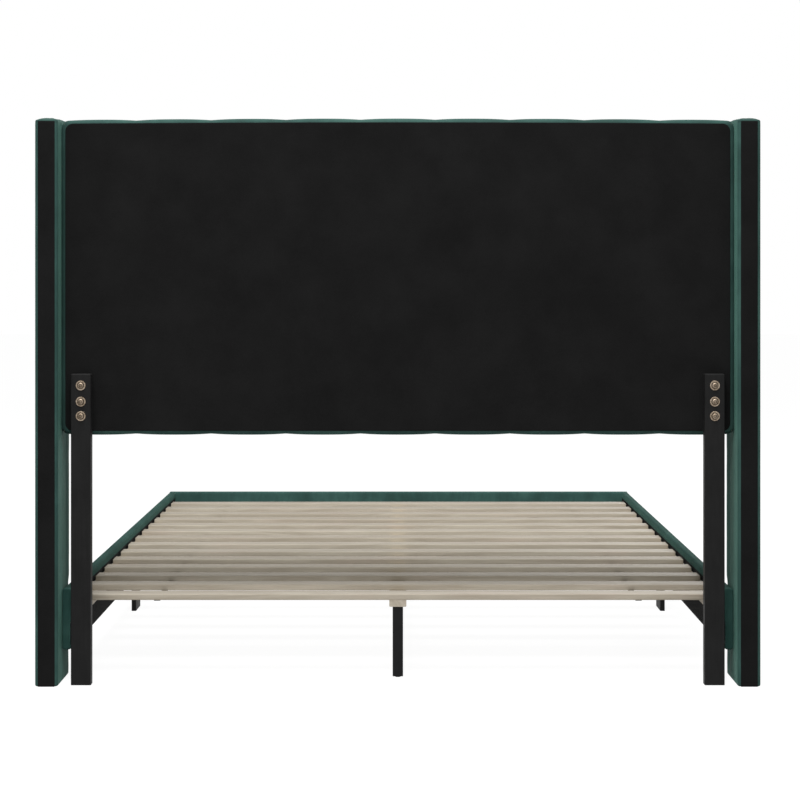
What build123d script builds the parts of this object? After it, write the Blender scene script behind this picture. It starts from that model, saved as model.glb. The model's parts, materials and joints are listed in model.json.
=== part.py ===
from build123d import *
import os
from math import cos, pi, sin

os.makedirs("parts", exist_ok=True)

# Wingback bed for a queen mattress. Millimetres, +Z up, the headboard at +Y and the foot at -Y.
# The origin is on the floor, in the middle of the bed's length and width.
# Depths are measured from the back plane of the wings towards the foot.

# Mattress and the room round it
mattress_width = 1524.0
mattress_length = 2032.0
mattress_side_gap = 14.0
mattress_end_gap = 13.0
mattress_recess = 20.0

# Cloth that is shared by several pieces
back_cloth = 1.0
soft_gap = 0.5
cut_overrun = 5.0

# Headboard
headboard_setback = 45.0
headboard_top = 1336.0
headboard_bottom = 586.0
headboard_top_arch = 3.5
headboard_rim = 7.0
headboard_corner_radius = 16.0
headboard_back_edge_radius = 10.0
headboard_timber = 22.0
headboard_board = 5.0
staple_cloth = 2.0
staple_flange = 26.0
stile_width = 90.0
cross_rail_width = 60.0
upright_width = 60.0
upright_count = 3
back_cover_margin = 10.0
back_cover_corner_radius = 18.0

# Vertical channels of the headboard
channel_count = 9
channel_foam = 30.0
channel_groove = 15.0
channel_end_round = 45.0
channel_end_foam = 4.0
edge_groove = 2.8
end_station_count = 8

# Headboard posts and the bolts in them
post_width = 47.0
post_thickness = 28.0
post_height = 732.0
post_rail_gap = 7.0
post_edge_radius = 2.5
post_top_ease = 2.0
post_bolt_heights = (633.0, 667.0, 705.0)
bolt_diameter = 8.0
bolt_hole_clearance = 0.25
bolt_head_diameter = 15.5
bolt_head_height = 4.2
bolt_shoulder_diameter = 12.8
bolt_shoulder_height = 2.8
bolt_crown_diameter = 8.0
bolt_socket_across = 5.0
hexagon_sides = 6
bolt_socket_depth = 2.6
washer_diameter = 23.0
washer_thickness = 1.6
bolt_grip = 16.0
bolt_tip_clearance = 3.0
cover_slot_margin = 7.0

# Wings
wing_thickness = 53.0
wing_depth = 157.0
wing_top_step = 3.5
wing_dome = 3.5
wing_edge_radius = 9.0
wing_foot_radius = 4.0
wing_cover_wall = 5.0
wing_sole = 2.0
wing_panel = 5.0
wing_strip_width = 39.5
wing_strip_top_margin = 7.0
wing_strip_lap = 5.0
wing_rear_batten = 65.0
wing_front_batten = 35.0
wing_foot_block = 220.0
wing_top_block = 60.0
tongue_thickness = 10.0
tongue_height = 60.0
tongue_grip = 25.0
tongue_clearance = 0.2
tongue_height_shares = (0.235, 0.82)

# Side rails
rail_thickness = 21.0
rail_height = 145.0
rail_head_setback = 62.0
rail_outer_foam = 3.0
rail_inner_wrap = 1.0
rail_bottom_wrap = 2.0
rail_edge_radius = 6.0
rail_wrap_drop = 20.0
rail_wrap_turn = 10.0

# Foot rail
foot_thickness = 25.0
foot_foam = 4.0

# Slat deck
leg_height = 150.0
ledger_height = 36.0
ledger_thickness = 22.0
ledger_head_gap = 8.0
ledger_foot_gap = 5.0
ledger_edge_ease = 1.5
slat_count = 14
slat_width = 58.0
slat_thickness = 14.0
slat_head_depth = 103.0
slat_foot_gap = 117.0
slat_end_gap = 6.0
slat_edge_ease = 1.6
strap_width = 15.0
strap_thickness = 1.5
strap_place = 577.0

# Centre beam and its legs
beam_width = 41.0
beam_thickness = 16.0
beam_edge_ease = 1.5
beam_end_gap = 1.0
centre_leg_count = 2
centre_leg_side = 25.0
centre_leg_wall = 1.5
centre_leg_corner_radius = 2.5
centre_leg_head_gap = 2.0
centre_leg_pitch = 952.0
centre_leg_cap = 3.0
leg_stud_length = 12.0
leg_stud_clearance = 0.1
plug_flange = 2.0
plug_length = 22.0
plug_clearance = 0.1
glide_across = 14.0
glide_height = 3.0
glide_edge_ease = 1.0
glide_stud_diameter = 8.0
glide_stud_length = 24.0
glide_clearance = 0.1

# Plank legs under the ledgers
plank_thickness = 13.0
plank_depth = 92.0
plank_inset = 6.5
plank_edge_ease = 2.0
mid_leg_depth = 1029.0
foot_leg_gap = 70.0

# Angle brackets, with the bolts that run through them into the wings
bracket_thickness = 3.0
bracket_height = 54.0
bracket_floor_gap = 88.0
bracket_post_arm = 52.0
bracket_rail_arm = 80.0
bracket_foot_arm = 60.0
bracket_bend_radius = 3.0
bracket_screw_hole = 5.0
wing_bolt_place = 52.0
wing_bolt_grip = 30.0
hex_head_across = 13.0
hex_head_height = 5.5
cleat_width = 60.0
cleat_shelf = 45.0
cleat_drop = 40.0
cleat_screw_shares = (0.25, 0.75)

# Places worked out from the sizes above
inner_half_width = mattress_width / 2 + mattress_side_gap
rail_outer_face = inner_half_width + rail_thickness
wing_outer_face = rail_outer_face + wing_thickness
wing_height = headboard_top - wing_top_step
pad_half_width = rail_outer_face - soft_gap
pad_depth = headboard_setback + back_cloth
timber_depth = pad_depth + staple_cloth
board_depth = timber_depth + headboard_timber
foam_depth = board_depth + headboard_board
crest_depth = foam_depth + channel_foam
foot_depth = crest_depth + mattress_length + mattress_end_gap
overall_length = foot_depth + foot_thickness
core_half_width = pad_half_width - headboard_rim
core_bottom = headboard_bottom + edge_groove + headboard_rim
core_top = headboard_top - headboard_top_arch - edge_groove - headboard_rim
slat_pitch = (foot_depth - slat_foot_gap - slat_width - slat_head_depth) / (slat_count - 1)
slat_bottom = leg_height + ledger_height
deck_height = slat_bottom + slat_thickness
rail_top = deck_height + mattress_recess
rail_bottom = rail_top - rail_height
beam_bottom = slat_bottom - beam_thickness
beam_end = foot_depth - bracket_thickness - beam_end_gap
slat_half_length = inner_half_width - slat_end_gap
post_outer_face = inner_half_width - post_rail_gap
post_axis = post_outer_face - post_width / 2
wing_axis = (rail_outer_face + wing_outer_face) / 2
bracket_axis_height = bracket_floor_gap + bracket_height / 2
bracket_z = (bracket_floor_gap, bracket_floor_gap + bracket_height)
tongue_depth = timber_depth + headboard_timber / 2


def depth_y(depth):
    """Y of a depth behind the wings' back plane, towards the foot."""
    return overall_length / 2 - depth


def span_middle(span):
    """Middle of a low and a high place."""
    return (span[0] + span[1]) / 2


def span_centre(x_span, depth_span, z_span):
    """Centre of a box given by its low and high places."""
    return Vector(span_middle(x_span), depth_y(span_middle(depth_span)), span_middle(z_span))


def block(x_span, depth_span, z_span):
    """Square-edged box between low and high places."""
    sizes = [high - low for low, high in (x_span, depth_span, z_span)]
    return Pos(span_centre(x_span, depth_span, z_span)) * Box(*sizes)


def bar(x_span, depth_span, z_span, along, section):
    """Bar along one axis, with a section made from its width and its height."""
    across, back, up = [high - low for low, high in (x_span, depth_span, z_span)]
    frames = {
        "x": (Plane.YZ, back, up, across),
        "y": (Plane.XZ, across, up, back),
        "z": (Plane.XY, across, back, up),
    }
    plane, width, height, length = frames[along]
    solid = extrude(plane * section(width, height), amount=length / 2, both=True)
    return Pos(span_centre(x_span, depth_span, z_span)) * solid


def rounded_bar(x_span, depth_span, z_span, radius, along):
    """Bar whose four edges along one axis are rounded."""
    def section(width, height):
        return RectangleRounded(width, height, radius)

    return bar(x_span, depth_span, z_span, along, section)


def eased_bar(x_span, depth_span, z_span, ease, along):
    """Bar whose four edges along one axis are planed off at 45 degrees."""
    def section(width, height):
        return chamfer(Rectangle(width, height).vertices(), ease)

    return bar(x_span, depth_span, z_span, along, section)


def rod(start, direction, radius, length):
    """Round rod from a point along a direction."""
    base = Plane(origin=start, z_dir=direction)
    return base * Cylinder(radius, length, align=(Align.CENTER, Align.CENTER, Align.MIN))


def mirrored(shape):
    """The same piece on the other side of the bed."""
    return mirror(shape, about=Plane.YZ)


def with_twin(shape):
    """A piece and its mirror image as one group."""
    return Compound([*shape.solids(), *mirrored(shape).solids()])


def group(shapes):
    """Separate solids as one node."""
    return Compound([solid for shape in shapes for solid in shape.solids()])


def hexagon(across):
    """Six-sided outline between opposite flats."""
    return RegularPolygon(across / 2, hexagon_sides, major_radius=False)


def button_bolt(start, outward, length):
    """Domed socket bolt with its washer, which bears on the start point."""
    crown_height = washer_thickness + bolt_head_height
    profile = Polyline(
        (0, -length),
        (bolt_diameter / 2, -length),
        (bolt_diameter / 2, 0),
        (washer_diameter / 2, 0),
        (washer_diameter / 2, washer_thickness),
        (bolt_head_diameter / 2, washer_thickness),
        (bolt_shoulder_diameter / 2, washer_thickness + bolt_shoulder_height),
        (bolt_crown_diameter / 2, crown_height),
        (0, crown_height),
        close=True,
    )
    bolt = revolve(Plane.XZ * make_face(profile), Axis.Z)
    socket_place = Pos(0, 0, crown_height - bolt_socket_depth)
    socket = extrude(socket_place * hexagon(bolt_socket_across), amount=bolt_socket_depth)
    return Plane(origin=start, z_dir=outward) * (bolt - socket)


def hex_bolt(start, outward, length):
    """Six-sided bolt whose head bears on the start point."""
    head = extrude(hexagon(hex_head_across), amount=hex_head_height)
    return Plane(origin=start, z_dir=outward) * head + rod(start, -outward, bolt_diameter / 2, length)


def scallops(places, notch, crest):
    """Arcs from notch to notch over the crests between neighbouring places."""
    arcs = Curve()
    for low, high in zip(places, places[1:]):
        arcs += ThreePointArc(notch(low), crest((low + high) / 2), notch(high))
    return arcs


# Headboard cushion

channel_seams = [
    pad_half_width * (2 * index / channel_count - 1) for index in range(channel_count + 1)
]


def pad_plan(foam, groove):
    """Section of the cushion seen from above: one arc for each channel and a straight back."""
    def notch(x):
        return (x, depth_y(foam_depth + foam - groove))

    def crest(x):
        return (x, depth_y(foam_depth + foam))

    back = Polyline(
        notch(pad_half_width),
        (pad_half_width, depth_y(pad_depth)),
        (-pad_half_width, depth_y(pad_depth)),
        notch(-pad_half_width),
    )
    return make_face(scallops(channel_seams, notch, crest) + back)


def pad_end(edge_height, inward):
    """Rounded end of the channels, where foam and grooves thin out towards the edge."""
    sections = []
    for station in range(end_station_count):
        turn = pi / 2 * station / (end_station_count - 1)
        foam = channel_end_foam + (channel_foam - channel_end_foam) * sin(turn)
        groove = edge_groove + (channel_groove - edge_groove) * sin(turn)
        height = edge_height + inward * channel_end_round * (1 - cos(turn))
        sections.append(Pos(0, 0, height) * pad_plan(foam, groove))
    return loft(sections, ruled=True)


def top_edge(x):
    """Height of the headboard's top edge, which arches a little over its width."""
    return headboard_top - headboard_top_arch * (x / pad_half_width) ** 2


def pad_outline():
    """Front outline of the cushion with a scallop at each end of every channel."""
    top = scallops(channel_seams, lambda x: (x, top_edge(x) - edge_groove), lambda x: (x, top_edge(x)))
    bottom = scallops(
        channel_seams,
        lambda x: (x, headboard_bottom + edge_groove),
        lambda x: (x, headboard_bottom),
    )
    side_low = headboard_bottom + edge_groove
    side_high = top_edge(pad_half_width) - edge_groove
    sides = Line((pad_half_width, side_low), (pad_half_width, side_high))
    sides += Line((-pad_half_width, side_low), (-pad_half_width, side_high))
    face = Plane.XZ * make_face(top + bottom + sides)
    return extrude(Pos(0, depth_y(pad_depth), 0) * face, amount=crest_depth - pad_depth + cut_overrun)


def pad_envelope():
    """Rounded block that gives the cushion its soft corners and back edges."""
    x_span = (-pad_half_width, pad_half_width)
    z_span = (headboard_bottom, headboard_top)
    depth_span = (pad_depth, 2 * crest_depth)
    radius = headboard_back_edge_radius
    front_form = rounded_bar(x_span, depth_span, z_span, headboard_corner_radius, "y")
    plan_form = rounded_bar(x_span, depth_span, z_span, radius, "z")
    side_form = rounded_bar(x_span, depth_span, z_span, radius, "x")
    return front_form & plan_form & side_form


def channel_pad():
    """Upholstered front with its edges turned round the frame and stapled on the back."""
    low = headboard_bottom + channel_end_round
    high = headboard_top - channel_end_round
    middle = extrude(Pos(0, 0, low) * pad_plan(channel_foam, channel_groove), amount=high - low)
    pad = pad_end(headboard_bottom, 1) + middle + pad_end(headboard_top, -1)
    pad = pad & pad_outline() & pad_envelope()
    core_x = (-core_half_width, core_half_width)
    pad -= block(core_x, (timber_depth, foam_depth), (core_bottom, core_top))
    window_x = (-core_half_width + staple_flange, core_half_width - staple_flange)
    window_z = (core_bottom + staple_flange, core_top - staple_flange)
    return pad - block(window_x, (pad_depth - cut_overrun, timber_depth), window_z)


# Cutters for the fasteners of one side

def post_bolt_points(depth):
    """Points on the post bolts' axes at one depth."""
    return [Vector(post_axis, depth_y(depth), height) for height in post_bolt_heights]


def post_bolt_holes(depth_span):
    """Holes for the post bolts over a span of depths."""
    length = depth_span[1] - depth_span[0]
    return [
        rod(point, Vector(0, -1, 0), bolt_hole_radius, length) for point in post_bolt_points(depth_span[0])
    ]


wing_timber_start = rail_outer_face + wing_cover_wall + wing_panel


def tongues(clearance):
    """Flat tongues across the joint of headboard and wing."""
    half_thickness = tongue_thickness / 2 + clearance
    half_height = tongue_height / 2 + clearance
    x_span = (core_half_width - tongue_grip - clearance, wing_timber_start + tongue_grip + clearance)
    depth_span = (tongue_depth - half_thickness, tongue_depth + half_thickness)
    heights = [
        headboard_bottom + share * (headboard_top - headboard_bottom) for share in tongue_height_shares
    ]
    return [block(x_span, depth_span, (height - half_height, height + half_height)) for height in heights]


wing_bolt_start = Vector(
    inner_half_width - bracket_thickness, depth_y(headboard_setback + wing_bolt_place), bracket_axis_height
)
wing_bolt_length = wing_timber_start + wing_bolt_grip - wing_bolt_start.X
bolt_hole_radius = bolt_diameter / 2 + bolt_hole_clearance
tongue_slots = tongues(tongue_clearance)
wing_bolt_hole = rod(wing_bolt_start, Vector(1, 0, 0), bolt_hole_radius,
                     wing_bolt_length + bolt_tip_clearance)


# Headboard frame

def headboard_stile():
    """Upright at one side, bored for the post's bolts and slotted for the wing's tongues."""
    stile = block((core_half_width - stile_width, core_half_width), (timber_depth, board_depth),
                  (core_bottom, core_top))
    bore_depths = (timber_depth, timber_depth + bolt_grip + bolt_tip_clearance)
    return stile - post_bolt_holes(bore_depths) - tongue_slots


def cross_rails():
    """Top and bottom rails between the stiles."""
    half = core_half_width - stile_width
    low = block((-half, half), (timber_depth, board_depth), (core_bottom, core_bottom + cross_rail_width))
    high = block((-half, half), (timber_depth, board_depth), (core_top - cross_rail_width, core_top))
    return group([low, high])


def uprights():
    """Evenly spaced uprights between the cross rails."""
    half = core_half_width - stile_width
    bars = []
    for index in range(upright_count):
        middle = half * (2 * (index + 1) / (upright_count + 1) - 1)
        x_span = (middle - upright_width / 2, middle + upright_width / 2)
        z_span = (core_bottom + cross_rail_width, core_top - cross_rail_width)
        bars.append(block(x_span, (timber_depth, board_depth), z_span))
    return group(bars)


def back_cover():
    """Black cloth over the back of the headboard, slit behind the posts for their bolts."""
    half = pad_half_width - back_cover_margin
    depth_span = (headboard_setback, pad_depth)
    z_span = (headboard_bottom + back_cover_margin, headboard_top - back_cover_margin)
    cover = rounded_bar((-half, half), depth_span, z_span, back_cover_corner_radius, "y")
    slit_z = (post_bolt_heights[0] - cover_slot_margin, post_bolt_heights[-1] + cover_slot_margin)
    slit = block((post_axis - cover_slot_margin, post_axis + cover_slot_margin), depth_span, slit_z)
    return cover - with_twin(slit)


def post():
    """Black post on the back of the headboard."""
    depth_span = (headboard_setback - post_thickness, headboard_setback)
    timber = rounded_bar((post_axis - post_width / 2, post_outer_face), depth_span, (0, post_height),
                         post_edge_radius, "z")
    timber = chamfer(timber.faces().sort_by(Axis.Z)[-1].edges(), post_top_ease)
    return timber - post_bolt_holes(depth_span)


def post_bolt_set():
    """Bolts through one post into the stile, each with its washer."""
    back_depth = headboard_setback - post_thickness
    length = timber_depth + bolt_grip - back_depth
    return group([button_bolt(point, (0, 1, 0), length) for point in post_bolt_points(back_depth)])


# Wings

wing_cover_depths = (back_cloth, wing_depth)
wing_core_x = (rail_outer_face + wing_cover_wall, wing_outer_face - wing_cover_wall)
wing_core_depths = (back_cloth + wing_cover_wall, wing_depth - wing_cover_wall)
wing_core_z = (wing_sole, wing_height - wing_dome - wing_cover_wall)


def wing_form():
    """Outer form of a wing: a tall rounded slab with a softly domed top."""
    left = rail_outer_face
    right = wing_outer_face
    shoulder = wing_height - wing_dome
    dome = ThreePointArc(
        (left + wing_edge_radius, shoulder),
        (wing_axis, wing_height),
        (right - wing_edge_radius, shoulder),
    )
    right_corner = RadiusArc((right - wing_edge_radius, shoulder), (right, shoulder - wing_edge_radius),
                             wing_edge_radius)
    left_corner = RadiusArc((left, shoulder - wing_edge_radius), (left + wing_edge_radius, shoulder),
                            wing_edge_radius)
    sides = Polyline(
        (right, shoulder - wing_edge_radius),
        (right, wing_foot_radius),
        (right - wing_foot_radius, 0),
        (left + wing_foot_radius, 0),
        (left, wing_foot_radius),
        (left, shoulder - wing_edge_radius),
    )
    face = Plane.XZ * make_face(left_corner + dome + right_corner + sides)
    front_form = extrude(Pos(0, depth_y(back_cloth), 0) * face, amount=wing_depth - back_cloth)
    plan_form = rounded_bar((left, right), wing_cover_depths, (0, wing_height), wing_edge_radius, "z")
    side_form = rounded_bar((left, right), wing_cover_depths, (-wing_height, wing_height),
                            wing_edge_radius, "x")
    return front_form & plan_form & side_form


def wing_cover():
    """Padded cloth cover of a wing, open at the back under the black strip."""
    slot_half = wing_strip_width / 2 - wing_strip_lap
    slot_z = (wing_core_z[0], wing_core_z[1] - wing_strip_lap)
    cover = wing_form() - block(wing_core_x, wing_core_depths, wing_core_z)
    cover -= block((wing_axis - slot_half, wing_axis + slot_half),
                   (back_cloth - cut_overrun, wing_core_depths[0]), slot_z)
    return cover - tongue_slots - wing_bolt_hole


def wing_strip():
    """Black cloth strip up the back edge of a wing."""
    return block((wing_axis - wing_strip_width / 2, wing_axis + wing_strip_width / 2), (0, back_cloth),
                 (0, wing_height - wing_strip_top_margin))


def wing_panels():
    """Thin boards on both faces of a wing's frame."""
    inner = block((wing_core_x[0], wing_core_x[0] + wing_panel), wing_core_depths, wing_core_z)
    outer = block((wing_core_x[1] - wing_panel, wing_core_x[1]), wing_core_depths, wing_core_z)
    return group([inner - tongue_slots - wing_bolt_hole, outer])


def wing_frame():
    """Blocks at the foot and the top of a wing with two battens between them."""
    timber_x = (wing_core_x[0] + wing_panel, wing_core_x[1] - wing_panel)
    low, high = wing_core_z
    rear, front = wing_core_depths
    batten_z = (low + wing_foot_block, high - wing_top_block)
    foot = block(timber_x, wing_core_depths, (low, batten_z[0])) - wing_bolt_hole
    top = block(timber_x, wing_core_depths, (batten_z[1], high))
    rear_batten = block(timber_x, (rear, rear + wing_rear_batten), batten_z) - tongue_slots
    front_batten = block(timber_x, (front - wing_front_batten, front), batten_z)
    return group([foot, top, rear_batten, front_batten])


# Rails

rail_depths = (rail_head_setback, foot_depth)
liner_depths = (rail_head_setback + rail_wrap_turn, foot_depth - rail_wrap_turn)
liner_z = (rail_bottom + rail_wrap_turn, rail_top - rail_wrap_drop)


def rail_board():
    """Board inside a side rail."""
    board = block(
        (inner_half_width + rail_inner_wrap, rail_outer_face - rail_outer_foam),
        (rail_head_setback + rail_outer_foam, foot_depth - rail_inner_wrap),
        (rail_bottom + rail_bottom_wrap, rail_top - rail_outer_foam),
    )
    return board - wing_bolt_hole


def rail_liner():
    """Black cloth on the inner face of a side rail, below the slats."""
    liner = block((inner_half_width, inner_half_width + rail_inner_wrap), liner_depths, liner_z)
    return liner - wing_bolt_hole


def rail_cover():
    """Velvet cover of a side rail, turned in over its top and bottom edges."""
    cover = rounded_bar((inner_half_width, rail_outer_face), rail_depths, (rail_bottom, rail_top),
                        rail_edge_radius, "y")
    window = block((inner_half_width, inner_half_width + rail_inner_wrap), liner_depths, liner_z)
    return cover - rail_board() - window - wing_bolt_hole


def ledger():
    """Wooden ledger that carries the slat ends."""
    return eased_bar(
        (inner_half_width - ledger_thickness, inner_half_width),
        (rail_head_setback + ledger_head_gap, foot_depth - ledger_foot_gap),
        (leg_height, slat_bottom),
        ledger_edge_ease,
        "y",
    )


def foot_board():
    """Board inside the foot rail."""
    half = rail_outer_face - rail_outer_foam
    return block(
        (-half, half),
        (foot_depth + rail_inner_wrap, overall_length - foot_foam),
        (rail_bottom + rail_bottom_wrap, rail_top - rail_outer_foam),
    )


def foot_cover():
    """Velvet cover all round the foot rail."""
    cover = rounded_bar((-rail_outer_face, rail_outer_face), (foot_depth, overall_length),
                        (rail_bottom, rail_top), rail_edge_radius, "x")
    return cover - foot_board()


# Slat deck

def slat(index):
    """One slat, counted from the head end."""
    near = slat_head_depth + index * slat_pitch
    return eased_bar((-slat_half_length, slat_half_length), (near, near + slat_width),
                     (slat_bottom, deck_height), slat_edge_ease, "x")


def strap():
    """Webbing strap under the slats that keeps them spaced."""
    last_edge = slat_head_depth + (slat_count - 1) * slat_pitch + slat_width
    return block((strap_place - strap_width / 2, strap_place + strap_width / 2),
                 (slat_head_depth, last_edge), (slat_bottom - strap_thickness, slat_bottom))


# Centre beam and legs

def centre_leg_depth(index):
    """Depth of a centre leg's axis."""
    near = slat_head_depth + centre_leg_head_gap + index * centre_leg_pitch
    return near + centre_leg_side / 2


def centre_leg_point(index, height):
    """Point on a centre leg's axis."""
    return Vector(0, depth_y(centre_leg_depth(index)), height)


tube_bottom = glide_height + plug_flange


def square_spans(side, index):
    """Spans in x and in depth of a square on a centre leg's axis."""
    depth = centre_leg_depth(index)
    return (-side / 2, side / 2), (depth - side / 2, depth + side / 2)


def square_tube_outline(index, z_span):
    """Upright square bar with the tube's rounded corners."""
    x_span, depth_span = square_spans(centre_leg_side, index)
    return rounded_bar(x_span, depth_span, z_span, centre_leg_corner_radius, "z")


def leg_stud(index, clearance):
    """Threaded stud on top of a leg, or the hole for it."""
    return rod(centre_leg_point(index, beam_bottom), Vector(0, 0, 1), bolt_diameter / 2 + clearance,
               leg_stud_length + clearance)


def centre_leg(index):
    """Square steel tube with a closed top and a stud that screws into the beam."""
    bore_x, bore_depths = square_spans(centre_leg_side - 2 * centre_leg_wall, index)
    tube = square_tube_outline(index, (tube_bottom, beam_bottom))
    tube -= block(bore_x, bore_depths, (tube_bottom, beam_bottom - centre_leg_cap))
    return tube + leg_stud(index, 0)


def centre_leg_plug(index):
    """Plastic plug in a leg's lower end, with the threaded bore of the glide."""
    body_x, body_depths = square_spans(centre_leg_side - 2 * centre_leg_wall - 2 * plug_clearance, index)
    flange = square_tube_outline(index, (glide_height, tube_bottom))
    body = block(body_x, body_depths, (tube_bottom, tube_bottom + plug_length))
    bore = rod(centre_leg_point(index, glide_height), Vector(0, 0, 1),
               glide_stud_diameter / 2 + glide_clearance, plug_flange + plug_length)
    return flange + body - bore


def levelling_glide(index):
    """Six-sided foot pad on a threaded stud."""
    pad = extrude(Pos(centre_leg_point(index, 0)) * hexagon(glide_across), amount=glide_height)
    pad = chamfer(pad.faces().sort_by(Axis.Z)[0].edges(), glide_edge_ease)
    return pad + rod(centre_leg_point(index, glide_height), Vector(0, 0, 1), glide_stud_diameter / 2,
                     glide_stud_length)


def centre_beam():
    """Flat beam under the middle of the slats."""
    beam = eased_bar((-beam_width / 2, beam_width / 2), (slat_head_depth, beam_end),
                     (beam_bottom, slat_bottom), beam_edge_ease, "y")
    return beam - [leg_stud(index, leg_stud_clearance) for index in range(centre_leg_count)]


def plank_leg(near_depth):
    """Black plank leg under a ledger, set in a little from the side rail."""
    outer_face = inner_half_width - plank_inset
    return eased_bar((outer_face - plank_thickness, outer_face),
                     (near_depth, near_depth + plank_depth), (0, leg_height), plank_edge_ease, "z")


# Steel brackets

def edge_near(shape, point):
    """The edge whose middle lies nearest to a point."""
    return min(shape.edges(), key=lambda edge: (edge.center() - point).length)


def bend(shape, outer_point, inner_point):
    """Round the bend of a plate bracket outside and inside."""
    shape = fillet(edge_near(shape, outer_point), bracket_thickness + bracket_bend_radius)
    return fillet(edge_near(shape, inner_point), bracket_bend_radius)


def head_bracket():
    """Angle between a post's front face and a rail's inner face."""
    face_x = inner_half_width
    near = headboard_setback
    far = near + bracket_thickness
    plate_x = face_x - bracket_thickness
    post_arm = block((face_x - bracket_post_arm, face_x), (near, far), bracket_z)
    rail_arm = block((plate_x, face_x), (near, near + bracket_rail_arm), bracket_z)
    bracket = bend(
        post_arm + rail_arm,
        Vector(face_x, depth_y(near), bracket_axis_height),
        Vector(plate_x, depth_y(far), bracket_axis_height),
    )
    post_screw = rod(Vector(post_axis, depth_y(near), bracket_axis_height), Vector(0, -1, 0),
                     bracket_screw_hole / 2, bracket_thickness)
    return bracket - post_screw - wing_bolt_hole


def foot_bracket():
    """Angle between a rail's inner face and the foot rail."""
    face_x = inner_half_width
    near = foot_depth - bracket_thickness
    plate_x = face_x - bracket_thickness
    foot_arm = block((face_x - bracket_foot_arm, face_x), (near, foot_depth), bracket_z)
    rail_arm = block((plate_x, face_x), (foot_depth - bracket_foot_arm, foot_depth), bracket_z)
    bracket = bend(
        foot_arm + rail_arm,
        Vector(face_x, depth_y(foot_depth), bracket_axis_height),
        Vector(plate_x, depth_y(near), bracket_axis_height),
    )
    middle = bracket_foot_arm / 2
    foot_screw = rod(Vector(face_x - middle, depth_y(near), bracket_axis_height), Vector(0, -1, 0),
                     bracket_screw_hole / 2, bracket_thickness)
    rail_screw = rod(Vector(plate_x, depth_y(foot_depth - middle), bracket_axis_height), Vector(1, 0, 0),
                     bracket_screw_hole / 2, bracket_thickness)
    return bracket - foot_screw - rail_screw


def beam_cleat():
    """Angle on the foot rail that carries the end of the beam."""
    half = cleat_width / 2
    near = foot_depth - bracket_thickness
    shelf_bottom = beam_bottom - bracket_thickness
    shelf = block((-half, half), (foot_depth - cleat_shelf, foot_depth), (shelf_bottom, beam_bottom))
    drop = block((-half, half), (near, foot_depth), (beam_bottom - cleat_drop, beam_bottom))
    cleat = bend(
        shelf + drop,
        Vector(0, depth_y(foot_depth), beam_bottom),
        Vector(0, depth_y(near), shelf_bottom),
    )
    holes = [
        rod(Vector(half * (2 * share - 1), depth_y(near), beam_bottom - cleat_drop / 2),
            Vector(0, -1, 0), bracket_screw_hole / 2, bracket_thickness)
        for share in cleat_screw_shares
    ]
    return cleat - holes


# Every node of the bed, by name

def one_sided_nodes():
    """Pieces that come as a right one and its mirror image on the left."""
    return {
        "post": post(),
        "wing_cover": wing_cover(),
        "wing_panels": wing_panels(),
        "wing_frame": wing_frame(),
        "rail_cover": rail_cover(),
        "rail_board": rail_board(),
        "rail_liner": rail_liner(),
        "ledger": ledger(),
    }


def sided_name(name, side):
    """Name of a piece with its side after the first word."""
    first, *rest = name.split("_")
    return "_".join([first, side, *rest])


def all_nodes():
    """Every node of the bed, by name."""
    foot_leg_depth = foot_depth - foot_leg_gap - plank_depth
    nodes = {
        "headboard_channel_pad": channel_pad() - with_twin(group(tongue_slots)),
        "headboard_back_cover": back_cover(),
        "headboard_front_board": block((-core_half_width, core_half_width), (board_depth, foam_depth),
                                       (core_bottom, core_top)),
        "headboard_stiles": with_twin(headboard_stile()),
        "headboard_cross_rails": cross_rails(),
        "headboard_uprights": uprights(),
        "post_bolts": with_twin(post_bolt_set()),
        "wing_back_strips": with_twin(wing_strip()),
        "wing_tongues": with_twin(group(tongues(0))),
        "wing_bolts": with_twin(hex_bolt(wing_bolt_start, Vector(-1, 0, 0), wing_bolt_length)),
        "foot_board": foot_board(),
        "foot_cover": foot_cover(),
        "slat_straps": with_twin(strap()),
        "centre_beam": centre_beam(),
        "centre_leg_plugs": group([centre_leg_plug(index) for index in range(centre_leg_count)]),
        "mid_legs": with_twin(plank_leg(mid_leg_depth)),
        "foot_legs": with_twin(plank_leg(foot_leg_depth)),
        "head_brackets": with_twin(head_bracket()),
        "foot_brackets": with_twin(foot_bracket()),
        "beam_cleat": beam_cleat(),
    }
    for name, piece in one_sided_nodes().items():
        nodes[sided_name(name, "right")] = piece
        nodes[sided_name(name, "left")] = mirrored(piece)
    for index in range(slat_count):
        nodes[f"slat_{index + 1:02d}"] = slat(index)
    for index in range(centre_leg_count):
        nodes[f"centre_leg_{index + 1}"] = centre_leg(index)
        nodes[f"levelling_glide_{index + 1}"] = levelling_glide(index)
    return nodes


for node_name, node_shape in all_nodes().items():
    export_step(node_shape, f"parts/{node_name}.step")
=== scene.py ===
"""Wingback bed: velvet upholstery, slatted deck and steelwork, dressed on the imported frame.

Lengths held by the classes are millimetres, and so are all points until a mesh is made. Places are those of
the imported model: x to one side, y towards the headboard, z up, with the origin on the floor under the middle.
"""

import json
import logging
import math
from dataclasses import dataclass, field
from enum import Enum

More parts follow.
